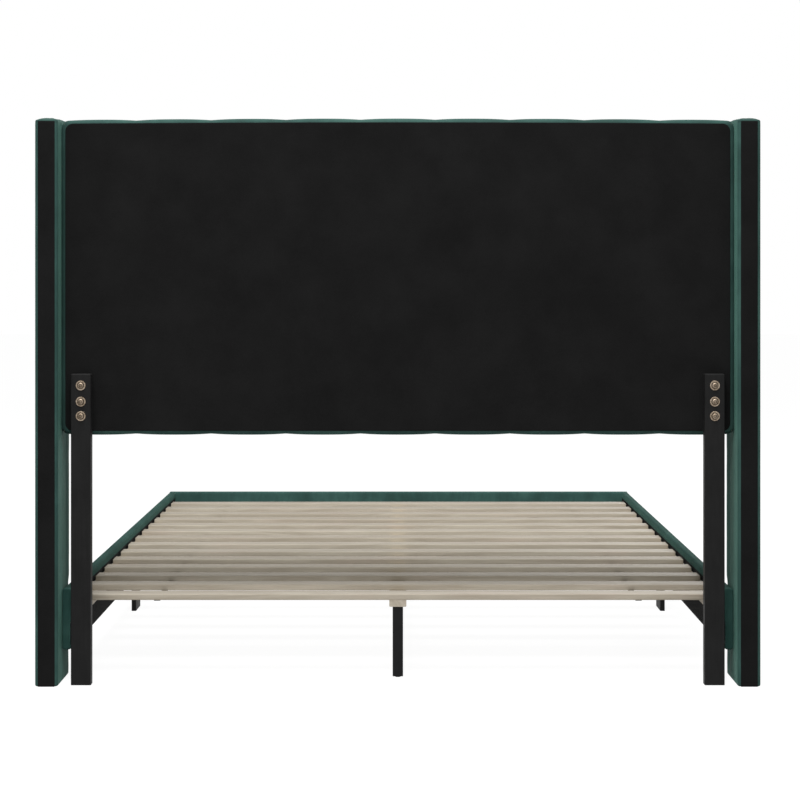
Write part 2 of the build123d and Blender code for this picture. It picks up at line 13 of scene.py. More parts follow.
import bpy
import numpy as np
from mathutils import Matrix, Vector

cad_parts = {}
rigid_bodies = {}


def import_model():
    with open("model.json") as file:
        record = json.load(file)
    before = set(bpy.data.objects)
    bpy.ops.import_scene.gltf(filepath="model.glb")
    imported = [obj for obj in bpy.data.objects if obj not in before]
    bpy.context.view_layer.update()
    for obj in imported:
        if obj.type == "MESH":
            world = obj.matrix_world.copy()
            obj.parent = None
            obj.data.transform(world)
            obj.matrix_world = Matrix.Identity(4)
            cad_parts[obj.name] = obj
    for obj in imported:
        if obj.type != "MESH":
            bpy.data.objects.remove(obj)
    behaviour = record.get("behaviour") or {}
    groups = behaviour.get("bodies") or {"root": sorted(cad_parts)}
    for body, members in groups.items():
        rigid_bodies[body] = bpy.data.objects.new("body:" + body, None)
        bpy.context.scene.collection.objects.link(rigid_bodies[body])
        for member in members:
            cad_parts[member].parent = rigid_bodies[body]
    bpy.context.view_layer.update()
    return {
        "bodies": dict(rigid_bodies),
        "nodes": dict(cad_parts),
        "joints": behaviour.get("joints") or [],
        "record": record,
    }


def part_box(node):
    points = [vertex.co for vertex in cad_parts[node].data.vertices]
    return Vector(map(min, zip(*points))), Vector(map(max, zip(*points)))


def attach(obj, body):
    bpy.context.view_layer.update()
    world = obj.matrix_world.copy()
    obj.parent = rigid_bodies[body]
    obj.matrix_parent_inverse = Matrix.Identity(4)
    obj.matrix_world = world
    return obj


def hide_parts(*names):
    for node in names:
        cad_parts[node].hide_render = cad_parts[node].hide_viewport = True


LOG = logging.getLogger("wingback_bed")
METRES_PER_MM = 0.001
MERGE_DISTANCE_MM = 0.001
TOLERANCE_MM = 0.01
FRAME_BODY = "bed_frame"
UP = np.array([0.0, 0.0, 1.0])
Socket = bpy.types.NodeSocket
Colour = tuple[float, float, float, float]
Place = tuple[float, float, float]


# Shapes


class Along(Enum):
    """Axis that a section is carried along."""

    X = 0
    Y = 1
    Z = 2


class Side(Enum):
    """Side of the bed, with the sign of its x."""

    RIGHT = 1
    LEFT = -1


@dataclass(frozen=True)
class Box:
    """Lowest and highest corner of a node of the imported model."""

    low: np.ndarray
    high: np.ndarray

    @classmethod
    def of(cls, node: str) -> "Box":
        """Reads the box of a node.

        Args:
            node: name of the node.

        Returns:
            Its box in millimetres.
        """
        low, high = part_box(node)
        return cls(np.array(low) / METRES_PER_MM, np.array(high) / METRES_PER_MM)

    @property
    def centre(self) -> np.ndarray:
        """Middle of the box."""
        return (self.low + self.high) / 2

    @property
    def size(self) -> np.ndarray:
        """Length of the box along each axis."""
        return self.high - self.low

    @property
    def inner(self) -> float:
        """Distance from the bed's middle line to the nearer side face."""
        return min(abs(self.low[0]), abs(self.high[0]))

    @property
    def outer(self) -> float:
        """Distance from the bed's middle line to the farther side face."""
        return max(abs(self.low[0]), abs(self.high[0]))

    def fitted(self, axis: Along, low: float, high: float) -> "Box":
        """Gives the box other ends on one axis.

        Args:
            axis: the axis.
            low: its lower end.
            high: its higher end.

        Returns:
            The new box.
        """
        ends = np.array([self.low, self.high])
        ends[:, axis.value] = low, high
        return Box(*ends)

    def beside(self, side: Side, near: float, far: float) -> "Box":
        """The box between two distances from the bed's middle line, on one side of it."""
        return self.fitted(Along.X, *sorted((side.value * near, side.value * far)))


@dataclass(frozen=True)
class Loop:
    """Rounded rectangle with a set number of points on each run and corner.

    The b runs may have extra points, given as shares of the run from its high end.
    """

    along_a: int
    along_b: int
    corner: int = 5
    extra_b: tuple[float, ...] = ()

    def weights(self) -> np.ndarray:
        """Works out what each point takes from the half sizes and from the radius.

        A point lies at (ka * (half_a - radius) + ca * radius, kb * (half_b - radius) + cb * radius). On a
        corner ka and kb are signs and ca and cb the cosine and sine of its angle; on a run one of them slides
        from 1 to -1.

        Returns:
            Four rows ka, ca, kb, cb with one column for each point.
        """
        runs = []
        signs = [(1, 1), (-1, 1), (-1, -1), (1, -1)]
        for index, (sign_a, sign_b) in enumerate(signs):
            angle = math.pi / 2 * (index + np.linspace(0, 1, self.corner))
            runs.append(np.stack([
                np.full(self.corner, sign_a), np.cos(angle), np.full(self.corner, sign_b), np.sin(angle),
            ]))
            next_a, next_b = signs[(index + 1) % len(signs)]
            steps = self.along_a if sign_a != next_a else self.along_b
            share = np.linspace(0, 1, steps + 2)[1:-1]
            if sign_b != next_b:
                extra = np.array(self.extra_b)
                share = np.unique(np.concatenate([share, extra if sign_b > 0 else 1 - extra]))
            middle = math.pi / 2 * (index + 1)
            runs.append(np.stack([
                sign_a + (next_a - sign_a) * share,
                np.full(len(share), round(math.cos(middle))),
                sign_b + (next_b - sign_b) * share,
                np.full(len(share), round(math.sin(middle))),
            ]))
        return np.concatenate(runs, axis=1)

    def points(self, half_a: np.ndarray, half_b: np.ndarray, radius: np.ndarray) -> np.ndarray:
        """Points of one loop for each set of sizes.

        Args:
            half_a: half sizes along a.
            half_b: half sizes along b.
            radius: corner radii.

        Returns:
            Array of loops by points by two coordinates.
        """
        ka, ca, kb, cb = self.weights()[:, None, :]
        reach = radius[:, None]
        a = ka * (half_a[:, None] - reach) + ca * reach
        b = kb * (half_b[:, None] - reach) + cb * reach
        return np.stack([a, b], axis=-1)


@dataclass(frozen=True)
class EdgeProfile:
    """Inset and place of each ring of a bar, from the middle of one end to the middle of the other."""

    insets: np.ndarray
    places: np.ndarray

    @classmethod
    def rounded(cls, low: float, high: float, edge: float, spacing: float, half: float,
                turns: int, rings: int) -> "EdgeProfile":
        """Flat ends with a quarter circle round each edge and even rings between them.

        Args:
            low: lower end.
            high: upper end.
            edge: radius of the end edges.
            spacing: greatest distance between rings on the straight part.
            half: inset at which the section closes.
            turns: steps round an edge.
            rings: rings across a flat end.

        Returns:
            The profile.
        """
        turn = np.linspace(0, math.pi / 2, turns + 1)
        end_insets = np.concatenate([np.linspace(half, edge, rings + 1)[:-1], edge * (1 - np.sin(turn))])
        end_places = np.concatenate([np.full(rings, low), low + edge * (1 - np.cos(turn))])
        count = max(2, math.ceil((high - low - 2 * edge) / spacing) + 1)
        run = np.linspace(low + edge, high - edge, count)[1:-1]
        insets = np.concatenate([end_insets, np.zeros(len(run)), end_insets[::-1]])
        places = np.concatenate([end_places, run, low + high - end_places[::-1]])
        return cls(insets, places)


def carried(box: Box, along: Along, loop: Loop, edge: float, profile: EdgeProfile) -> np.ndarray:
    """Carries a rounded rectangle along an axis.

    Ring i is the rectangle drawn in by profile.insets[i], at profile.places[i] on the axis. The corner
    radius shrinks with the inset down to zero, so the last ring closes on a line.

    Args:
        box: box that gives the rectangle's size and middle.
        along: axis of the bar.
        loop: sampling of the section.
        edge: corner radius of the section.
        profile: insets and places of the rings.

    Returns:
        Array of rings by points by three coordinates.
    """
    across = [axis.value for axis in Along if axis is not along]
    half_a, half_b = box.size[across] / 2
    inset = np.minimum(profile.insets, min(half_a, half_b))
    flat = loop.points(half_a - inset, half_b - inset, np.maximum(edge - inset, 0.0))
    rings = np.empty((*flat.shape[:2], 3))
    rings[..., across] = flat + box.centre[across]
    rings[..., along.value] = profile.places[:, None]
    return rings


def bar(box: Box, along: Along, loop: Loop, edge: float, end_edge: float, spacing: float,
        turns: int = 4, rings: int = 2) -> np.ndarray:
    """Rounded bar that fills a box, with a quarter circle round its edges and round its ends.

    Args:
        box: box that it fills.
        along: axis that its section is carried along.
        loop: sampling of its section.
        edge: radius of the long edges.
        end_edge: radius of the end edges.
        spacing: greatest distance between rings.
        turns: steps round an end edge.
        rings: rings across a flat end.

    Returns:
        Array of rings by points by three coordinates.
    """
    half = min(box.size[axis.value] for axis in Along if axis is not along) / 2
    ends = box.low[along.value], box.high[along.value]
    profile = EdgeProfile.rounded(*ends, end_edge, spacing, half, turns, rings)
    return carried(box, along, loop, edge, profile)


def turned(profile: np.ndarray, steps: int, start: Place, outward: Place) -> np.ndarray:
    """Turns a profile round an axis, with a share of it pressed to a hexagon.

    At angle t the radius is r on a round ring and r / cos((t mod 60 degrees) - 30 degrees) on a hexagonal
    one, where r is then half the distance across flats.

    Args:
        profile: rows of radius, height over the start and share of hexagon, one column for each ring.
        steps: points round a ring, a multiple of six.
        start: point that the axis leaves from.
        outward: direction of the axis, of length one.

    Returns:
        Array of rings by points by three coordinates.
    """
    radii, heights, flats = profile[..., None]
    angle = 2 * math.pi * np.arange(steps) / steps
    sixth = math.pi / 3
    hexagon = 1 / np.cos(angle % sixth - sixth / 2)
    reach = radii * (1 + flats * (hexagon - 1))
    axis = np.array(outward)
    first = np.cross(UP, axis)
    second = np.cross(axis, first)
    round_part = np.cos(angle)[:, None] * first + np.sin(angle)[:, None] * second
    return np.array(start) + reach[..., None] * round_part + heights[..., None] * axis


def ring_faces(rings: np.ndarray, offset: int) -> tuple[np.ndarray, list[list[int]]]:
    """Joins neighbouring rings with quads and merges the points that meet at poles and end lines.

    Args:
        rings: array of rings by points by three coordinates, in millimetres.
        offset: number of the first point.

    Returns:
        Points in metres and faces that look outwards.
    """
    count, size, _ = rings.shape
    flat = rings.reshape(-1, 3)
    keys = np.round(flat / MERGE_DISTANCE_MM).astype(np.int64)
    _, first, inverse = np.unique(keys, axis=0, return_index=True, return_inverse=True)
    row = (np.arange(count - 1) * size)[:, None]
    column = np.arange(size)[None, :]
    beside = (column + 1) % size
    quads = np.stack([row + column, row + beside, row + size + beside, row + size + column], axis=-1)
    quads = inverse.ravel()[quads.reshape(-1, 4)]
    points = flat[first] * METRES_PER_MM
    doubled = quads == np.roll(quads, -1, axis=1)
    whole = quads[doubled.sum(axis=1) == 0]
    folded = doubled.sum(axis=1) == 1
    order = (np.argmax(doubled[folded], axis=1)[:, None] + 1 + np.arange(3)[None, :]) % 4
    threes = np.take_along_axis(quads[folded], order, axis=1)
    corners = np.concatenate([whole[:, :3], whole[:, [0, 2, 3]], threes])
    a, b, c = points[corners[:, 0]], points[corners[:, 1]], points[corners[:, 2]]
    if np.einsum("ij,ij->", a, np.cross(b, c)) < 0:
        whole, threes = whole[:, ::-1], threes[:, ::-1]
    return points, [*(whole + offset).tolist(), *(threes + offset).tolist()]


def smooth_step(value: np.ndarray, start: float, end: float) -> np.ndarray:
    """Goes from 0 at start to 1 at end, which may be the lower one, and is level at both."""
    share = np.clip((value - start) / (end - start), 0.0, 1.0)
    return share * share * (3 - 2 * share)


def ripple(rings: np.ndarray, length: float, seed: int) -> np.ndarray:
    """Soft waviness without a repeat: a half plus the mean of six sine waves in seeded directions.

    Args:
        rings: array of rings by points by three coordinates.
        length: middle wavelength in millimetres.
        seed: picks the directions and phases.

    Returns:
        A value from about 0 to 1 for each point.
    """
    random = np.random.default_rng(seed)
    waves = random.normal(size=(6, 3))
    waves *= 2 * math.pi / (length * np.linalg.norm(waves, axis=1, keepdims=True))
    waves *= random.uniform(0.6, 1.6, size=(6, 1))
    swings = np.sin(rings.reshape(-1, 3) @ waves.T + random.uniform(0, 2 * math.pi, 6))
    return 0.5 + swings.mean(axis=-1).reshape(rings.shape[:2])


# Finishes


def shade(red: float, green: float, blue: float) -> Colour:
    """Linear colour of what a screen shows.

    Args:
        red: red from 0 to 255.
        green: green from 0 to 255.
        blue: blue from 0 to 255.

    Returns:
        The colour, opaque.
    """
    channels = np.array([red, green, blue]) / 255
    linear = np.where(channels <= 0.04045, channels / 12.92, ((channels + 0.055) / 1.055) ** 2.4)
    return (float(linear[0]), float(linear[1]), float(linear[2]), 1.0)


class Tree:
    """Node tree that is cleared and then filled node by node."""

    def __init__(self, tree: bpy.types.NodeTree) -> None:
        """Clears the tree."""
        self.tree = tree
        tree.nodes.clear()

    def node(self, kind: str, inputs: dict | None = None, **settings: object) -> bpy.types.Node:
        """Adds a node.

        Args:
            kind: type of the node.
            inputs: values or sockets by input name or index.
            settings: properties of the node.

        Returns:
            The node.
        """
        made = self.tree.nodes.new(kind)
        for key, value in settings.items():
            setattr(made, key, value)
        for key, value in (inputs or {}).items():
            if isinstance(value, Socket):
                self.tree.links.new(value, made.inputs[key])
            else:
                made.inputs[key].default_value = value
        return made

    def calculate(self, operation: str, *values: Socket | float) -> Socket:
        """Product, sum or other result of sockets and numbers."""
        return self.node("ShaderNodeMath", dict(enumerate(values)), operation=operation).outputs[0]


class Recipe(Tree):
    """Node tree of one material, built in the order in which its layers lie."""

    def __init__(self, name: str) -> None:
        """Starts an empty material.

        Args:
            name: name of the material.
        """
        self.material = bpy.data.materials.new(name)
        self.material.use_nodes = True
        super().__init__(self.material.node_tree)

    def place(self, stretch: Place = (1.0, 1.0, 1.0)) -> Socket:
        """Object coordinates in metres, stretched along the axes."""
        where = self.node("ShaderNodeTexCoord").outputs["Object"]
        return self.node("ShaderNodeMapping", {"Vector": where, "Scale": stretch}).outputs["Vector"]

    def along(self, grain: Along, length: float) -> Socket:
        """Object coordinates drawn out along the grain so many times."""
        return self.place(tuple(1 / length if axis is grain else 1.0 for axis in Along))

    def noise(self, where: Socket, scale: float, detail: float = 2.0, roughness: float = 0.5,
              distortion: float = 0.0) -> Socket:
        """Cloudy pattern from 0 to 1 with so many cells to the metre."""
        return self.node("ShaderNodeTexNoise", {
            "Vector": where, "Scale": scale, "Detail": detail, "Roughness": roughness,
            "Distortion": distortion,
        }).outputs[0]

    def cells(self, where: Socket, scale: float) -> Socket:
        """Distance to the points of a cell pattern."""
        return self.node("ShaderNodeTexVoronoi", {"Vector": where, "Scale": scale}).outputs["Distance"]

    def read(self, name: str) -> Socket:
        """Number that a piece holds for each of its points."""
        return self.node("ShaderNodeAttribute", attribute_name=name).outputs["Fac"]

    def sum(self, *terms: tuple[Socket, float]) -> Socket:
        """Adds up patterns.

        Args:
            terms: patterns and their weights.

        Returns:
            The sum.
        """
        total: Socket | float = 0.0
        for pattern, weight in terms:
            total = self.calculate("MULTIPLY_ADD", pattern, weight, total)
        return total

    def span(self, pattern: Socket, low: float, high: float, start: float = 0.0, end: float = 1.0) -> Socket:
        """Maps a span of a pattern to start and end, and holds it beyond them."""
        return self.node("ShaderNodeMapRange", {
            "Value": pattern, "From Min": low, "From Max": high, "To Min": start, "To Max": end,
        }, interpolation_type="SMOOTHSTEP").outputs["Result"]

    def colours(self, pattern: Socket, *colours: Colour, last: float = 1.0) -> Socket:
        """Colours a pattern with a ramp.

        Args:
            pattern: pattern from 0 to 1.
            colours: colours of the ramp, at even steps from 0.
            last: place of the last colour.

        Returns:
            The colour.
        """
        ramp = self.node("ShaderNodeValToRGB", {"Fac": pattern})
        elements = ramp.color_ramp.elements
        while len(elements) < len(colours):
            elements.new(0.5)
        for element, position, colour in zip(elements, np.linspace(0.0, last, len(colours)), colours):
            element.position = position
            element.color = colour
        return ramp.outputs["Color"]

    def blend(self, share: Socket | float, under: Socket, over: Socket | Colour, mode: str = "MIX") -> Socket:
        """Lays one colour over another."""
        made = self.node("ShaderNodeMix", {0: share, 6: under, 7: over}, data_type="RGBA", blend_type=mode)
        return made.outputs[2]

    def relief(self, height: Socket, depth_mm: float, under: Socket | None = None) -> Socket:
        """Turns the surface as a height pattern does.

        Args:
            height: pattern from 0 to 1.
            depth_mm: depth of its full swing.
            under: relief that it lies on.

        Returns:
            The surface's direction.
        """
        inputs: dict = {"Height": height, "Distance": depth_mm * METRES_PER_MM, "Strength": 1.0}
        if under is not None:
            inputs["Normal"] = under
        return self.node("ShaderNodeBump", inputs).outputs["Normal"]

    def close(self, inputs: dict) -> bpy.types.Material:
        """Ends the material with its surface shader.

        Args:
            inputs: values or sockets of the shader.

        Returns:
            The material.
        """
        shader = self.node("ShaderNodeBsdfPrincipled", inputs)
        self.node("ShaderNodeOutputMaterial", {"Surface": shader.outputs["BSDF"]})
        return self.material


@dataclass(frozen=True)
class Velvet:
    """Short-pile velvet: brushed patches, a fine pile, a soft bloom at the edges, and painted light and shade
    laid on by each piece.
    """

    name: str = "green_velvet"
    deep: Colour = shade(36, 61, 56)
    middle: Colour = shade(46, 75, 70)
    raised: Colour = shade(61, 93, 86)
    turned_nap: float = 0.3
    bloom: Colour = shade(125, 180, 163)
    sheen: float = 0.31
    gloss: float = 0.18

    def make(self) -> bpy.types.Material:
        """Mixes the finish.

        Returns:
            Its material.
        """
        recipe = Recipe(self.name)
        where = recipe.place()
        patches = recipe.noise(where, 5.0, detail=3.0, roughness=0.55, distortion=0.6)
        brushed = recipe.noise(recipe.place((1.0, 1.0, 0.35)), 38.0, detail=3.0, roughness=0.6,
                               distortion=0.4)
        pile = recipe.noise(where, 900.0, detail=2.0, roughness=0.7)
        tone = recipe.sum((patches, 0.5), (brushed, 0.3), (pile, 0.2))
        colour = recipe.colours(recipe.span(tone, 0.3, 0.7), self.deep, self.middle, self.raised)
        # Painted light and shade: a per-point number from -1 to 1 lightens the colour below zero and darkens it
        # above zero, by up to the set share.
        painted_factor = recipe.span(recipe.read("turned_nap"), -1.0, 1.0, 1.0 + self.turned_nap, 1.0 - self.turned_nap)
        colour = recipe.blend(1.0, colour, painted_factor, "MULTIPLY")
        return recipe.close({
            "Base Color": colour,
            "Roughness": recipe.span(brushed, 0.2, 0.8, 0.72, 0.9),
            "Specular IOR Level": self.gloss,
            "Sheen Weight": self.sheen,
            "Sheen Roughness": 0.38,
            "Sheen Tint": self.bloom,
            "Normal": recipe.relief(pile, 0.35, recipe.relief(brushed, 0.5)),
        })


@dataclass(frozen=True)
class SpunCloth:
    """Black non-woven cloth with rows of heat-bonded points and loose fibres."""

    name: str = "black_cloth"
    body: Colour = shade(18, 18, 18)
    fibre: Colour = shade(28, 28, 28)
    bond_pitch: float = 1.6

    def make(self) -> bpy.types.Material:
        """Mixes the finish.

        Returns:
            Its material.
        """
        recipe = Recipe(self.name)
        where = recipe.place()
        bonds = recipe.cells(where, 1 / (self.bond_pitch * METRES_PER_MM))
        fibres = recipe.noise(where, 420.0, detail=4.0, roughness=0.7, distortion=1.5)
        clouds = recipe.noise(where, 9.0, detail=3.0, roughness=0.6)
        tone = recipe.sum((fibres, 0.6), (clouds, 0.4))
        pressed = recipe.span(bonds, 0.1, 0.45)
        return recipe.close({
            "Base Color": recipe.colours(recipe.span(tone, 0.3, 0.7), self.body, self.fibre),
            "Roughness": recipe.span(pressed, 0.0, 1.0, 0.75, 0.9),
            "Specular IOR Level": 0.06,
            "Normal": recipe.relief(pressed, 0.12, recipe.relief(fibres, 0.2)),
        })


@dataclass(frozen=True)
class Webbing:
    """Dark strap woven from flat yarns."""

    name: str = "strap_webbing"
    hollow: Colour = shade(34, 31, 28)
    yarn: Colour = shade(66, 60, 53)
    pitch: float = 1.8

    def make(self) -> bpy.types.Material:
        """Mixes the finish.

        Returns:
            Its material.
        """
        recipe = Recipe(self.name)
        turns = 1 / (self.pitch * METRES_PER_MM) / 2
        across, length = (
            recipe.node("ShaderNodeTexWave", {"Vector": recipe.place(), "Scale": turns / math.pi},
                        bands_direction=direction).outputs["Fac"] for direction in "YX")
        weave = recipe.calculate("MULTIPLY", across, length)
        fuzz = recipe.noise(recipe.place(), 600.0, detail=3.0)
        tone = recipe.sum((weave, 0.7), (fuzz, 0.3))
        return recipe.close({
            "Base Color": recipe.colours(tone, self.hollow, self.yarn, last=0.8),
            "Roughness": recipe.span(fuzz, 0.2, 0.8, 0.7, 0.9),
            "Specular IOR Level": 0.25,
            "Normal": recipe.relief(weave, 0.4),
        })


@dataclass(frozen=True)
class Timber:
    """Planed timber with growth bands, pores and a few small knots along its grain."""

    name: str
    grain: Along
    early: Colour
    late: Colour
    knot: Colour
    band_scale: float = 19.8
    band_count: float = 7.0
    knot_share: float = 1.0
    warm: Colour = shade(176, 158, 146)

    def make(self) -> bpy.types.Material:
        """Mixes the finish.

        Returns:
            Its material.
        """
        recipe = Recipe(self.name)
        bands = recipe.noise(recipe.along(self.grain, 14.0), self.band_scale, distortion=1.2)
        rings = recipe.calculate("PINGPONG", recipe.sum((bands, self.band_count)), 1.0)
        pores = recipe.noise(recipe.along(self.grain, 40.0), 520.0, detail=3.0, roughness=0.65)
        stain = recipe.noise(recipe.along(self.grain, 3.0), 6.0)
        streaks = recipe.noise(recipe.along(self.grain, 22.0), 210.0, detail=3.0, roughness=0.6)
        tone = recipe.sum((rings, 0.2), (pores, 0.32), (streaks, 0.26), (stain, 0.14),
                          (recipe.read("board_tone"), 0.2))
        colour = recipe.colours(recipe.span(tone, 0.22, 0.82), self.early, self.late)
        blush = recipe.noise(recipe.along(self.grain, 5.0), 22.0)
        colour = recipe.blend(recipe.span(blush, 0.5, 0.8, 0.0, 0.3), colour, self.warm)
        spots = recipe.cells(recipe.along(self.grain, 1.9), 5.2)
        knots = recipe.span(spots, 0.075, 0.03, 0.0, self.knot_share)
        halo = recipe.span(spots, 0.17, 0.06, 0.0, 0.28 * self.knot_share)
        colour = recipe.blend(halo, colour, self.late)
        colour = recipe.blend(knots, colour, self.knot)
        # Painted light and shade: each piece may lighten or darken its colour through a per-point number.
        painted_light_gain = recipe.calculate("ADD", recipe.read("board_gain"), 1.0)
        return recipe.close({
            "Base Color": recipe.blend(1.0, colour, painted_light_gain, "MULTIPLY"),
            "Roughness": recipe.span(pores, 0.2, 0.8, 0.5, 0.72),
            "Specular IOR Level": 0.35,
            "Normal": recipe.relief(pores, 0.12, recipe.relief(rings, 0.1)),
        })


@dataclass(frozen=True)
class Coating:
    """Black coat on timber or steel with a faint grain, dust and fine rubs."""

    name: str
    coat: Colour
    rub: Colour
    grain_scale: float
    gloss: float
    depth: float
    grain_stretch: float = 1.0
    grain: Along = Along.Z

    def make(self) -> bpy.types.Material:
        """Mixes the finish.

        Returns:
            Its material.
        """
        recipe = Recipe(self.name)
        grain = recipe.noise(recipe.along(self.grain, self.grain_stretch), self.grain_scale, detail=3.0,
                             roughness=0.6)
        dust = recipe.noise(recipe.place(), 14.0, detail=4.0, roughness=0.65)
        rubs = recipe.noise(recipe.place((1.0, 1.0, 4.0)), 45.0, detail=5.0, roughness=0.75, distortion=2.0)
        tone = recipe.span(recipe.sum((grain, 0.4), (dust, 0.6)), 0.3, 0.72)
        return recipe.close({
            "Base Color": recipe.colours(tone, self.coat, self.rub),
            "Roughness": recipe.span(recipe.sum((rubs, 0.6), (dust, 0.4)), 0.3, 0.7,
                                     self.gloss - 0.08, self.gloss + 0.12),
            "Specular IOR Level": 0.1,
            "Normal": recipe.relief(grain, self.depth),
        })


@dataclass(frozen=True)
class PlatedSteel:
    """Plated steel with fine brushing, duller patches and painted shade in its hollows."""

    name: str
    bright: Colour
    dull: Colour
    roughness: float
    hollow_shade: Colour = shade(40, 32, 24)

    def make(self) -> bpy.types.Material:
        """Mixes the finish.

        Returns:
            Its material.
        """
        recipe = Recipe(self.name)
        where = recipe.place()
        spangle = recipe.cells(where, 260.0)
        brushing = recipe.noise(recipe.place((1.0, 1.0, 12.0)), 500.0, detail=3.0, roughness=0.7)
        patches = recipe.noise(where, 120.0, detail=3.0, roughness=0.6)
        tone = recipe.sum((spangle, 0.3), (patches, 0.7))
        colour = recipe.colours(recipe.span(tone, 0.25, 0.7), self.dull, self.bright)
        return recipe.close({
            # Painted shade: the colour goes towards a dark brown where the piece's hollow number is high.
            "Base Color": recipe.blend(recipe.sum((recipe.read("hollow"), 0.85)), colour, self.hollow_shade),
            "Metallic": 1.0,
            "Roughness": recipe.span(brushing, 0.2, 0.8, self.roughness - 0.08, self.roughness + 0.12),
            "Normal": recipe.relief(brushing, 0.02),
        })


# Pieces


def placed(name: str, data: bpy.types.ID) -> bpy.types.Object:
    """Puts an object into the scene.

    Args:
        name: name of the object.
        data: mesh, lamp or camera that it holds.

    Returns:
        The object.
    """
    made = bpy.data.objects.new(name, data)
    bpy.context.scene.collection.objects.link(made)
    return made


def vertex_points(piece: bpy.types.Object) -> np.ndarray:
    """Reads the points of a piece.

    Args:
        piece: the piece.

    Returns:
        Array of points by three coordinates, in millimetres.
    """
    flat = np.empty(len(piece.data.vertices) * 3, dtype=np.float32)
    piece.data.vertices.foreach_get("co", flat)
    return flat.reshape(-1, 3).astype(float) / METRES_PER_MM


def move_points(piece: bpy.types.Object, points: np.ndarray) -> None:
    """Writes points in millimetres back into a piece."""
    piece.data.vertices.foreach_set("co", (points * METRES_PER_MM).astype(np.float32).ravel())
    piece.data.update()


def mark(piece: bpy.types.Object, name: str, values: np.ndarray) -> None:
    """Writes one number for each point into a named attribute."""
    attribute = piece.data.attributes.new(name, "FLOAT", "POINT")
    attribute.data.foreach_set("value", values.astype(np.float32))


def refine(piece: bpy.types.Object) -> None:
    """Adds a subdivision surface, the same in the view and in the render."""
    modifier = piece.modifiers.new("refine", "SUBSURF")
    modifier.levels = modifier.render_levels = 1


@dataclass
class Workshop:
    """Finishes by material slot, and the one way in which pieces are made and put on the bed."""

    materials: dict[str, bpy.types.Material] = field(default_factory=dict)

    def stock(self) -> None:
        """Makes every finish once."""
        knot = shade(92, 76, 58)
        softwood = (shade(206, 180, 140), shade(172, 138, 96), shade(104, 74, 48))
        for finish in (
                Velvet(),
                Velvet("green_velvet_smoothed", sheen=0.2, gloss=0.04),
                SpunCloth(),
                Webbing(),
                Timber("pale_timber", Along.X, shade(173, 165, 150), shade(144, 134, 119), knot),
                Timber("pale_timber_lengthwise", Along.Y, shade(192, 183, 167), shade(162, 151, 134), knot),
                Timber("frame_timber", Along.Z, *softwood),
                Timber("frame_timber_lengthwise", Along.Y, *softwood),
                Timber("beech", Along.X, shade(206, 166, 124), shade(180, 136, 96), shade(140, 100, 70),
                       band_scale=39.6, knot_share=0.0),
                Coating("black_painted_timber", shade(22, 22, 22), shade(31, 31, 31), grain_scale=260.0,
                        gloss=0.55, depth=0.1, grain_stretch=18.0),
                Coating("black_steel", shade(22, 22, 22), shade(30, 30, 31), grain_scale=900.0, gloss=0.42,
                        depth=0.08),
                Coating("black_plastic", shade(15, 15, 16), shade(24, 24, 24), grain_scale=1200.0, gloss=0.55,
                        depth=0.06),
                PlatedSteel("bronze_steel", shade(172, 157, 140), shade(118, 102, 84), roughness=0.5),
                PlatedSteel("zinc_steel", shade(188, 190, 192), shade(140, 142, 146), roughness=0.34)):
            self.materials[finish.name] = finish.make()

    def put(self, name: str, rings: list[np.ndarray], slot: str, material: str | None = None,
            sharp_degrees: float = 45.0, replaces: tuple[str, ...] = ()) -> bpy.types.Object:
        """Makes a piece from closed forms and sets it on the frame's body.

        Args:
            name: name of the piece.
            rings: one array of rings for each closed form of the piece.
            slot: material slot that it takes its finish from.
            material: finish, where it isn't the slot's own.
            sharp_degrees: edges that turn by more stay sharp.
            replaces: nodes that it stands for.

        Returns:
            The object.
        """
        points, faces, tones = [], [], []
        random = np.random.default_rng(sum(map(ord, name)))
        for form in rings:
            form_points, form_faces = ring_faces(form, sum(map(len, points)))
            points.append(form_points)
            faces.extend(form_faces)
            tones.append(np.full(len(form_points), random.uniform(0.0, 1.0)))
        mesh = bpy.data.meshes.new(name)
        mesh.from_pydata(np.concatenate(points), [], faces)
        piece = placed(name, mesh)
        mark(piece, "board_tone", np.concatenate(tones))
        mesh.polygons.foreach_set("use_smooth", np.ones(len(mesh.polygons), dtype=bool))
        mesh.set_sharp_from_angle(angle=math.radians(sharp_degrees))
        mesh.materials.append(self.materials[material or slot])
        mesh.update()
        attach(piece, FRAME_BODY)
        if replaces:
            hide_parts(*replaces)
        LOG.info("%s: %d faces", name, len(mesh.polygons))
        return piece

    def dress(self, frame: dict) -> None:
        """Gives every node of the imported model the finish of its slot.
        """
        slots = {row["node"]: row["material_slot"] for row in frame["record"]["subparts"]}
        for node in ("ledger_left", "ledger_right", "centre_beam", "rail_left_board", "rail_right_board"):
            slots[node] += "_lengthwise"
        for node, obj in frame["nodes"].items():
            obj.data.materials.clear()
            obj.data.materials.append(self.materials[slots[node]])


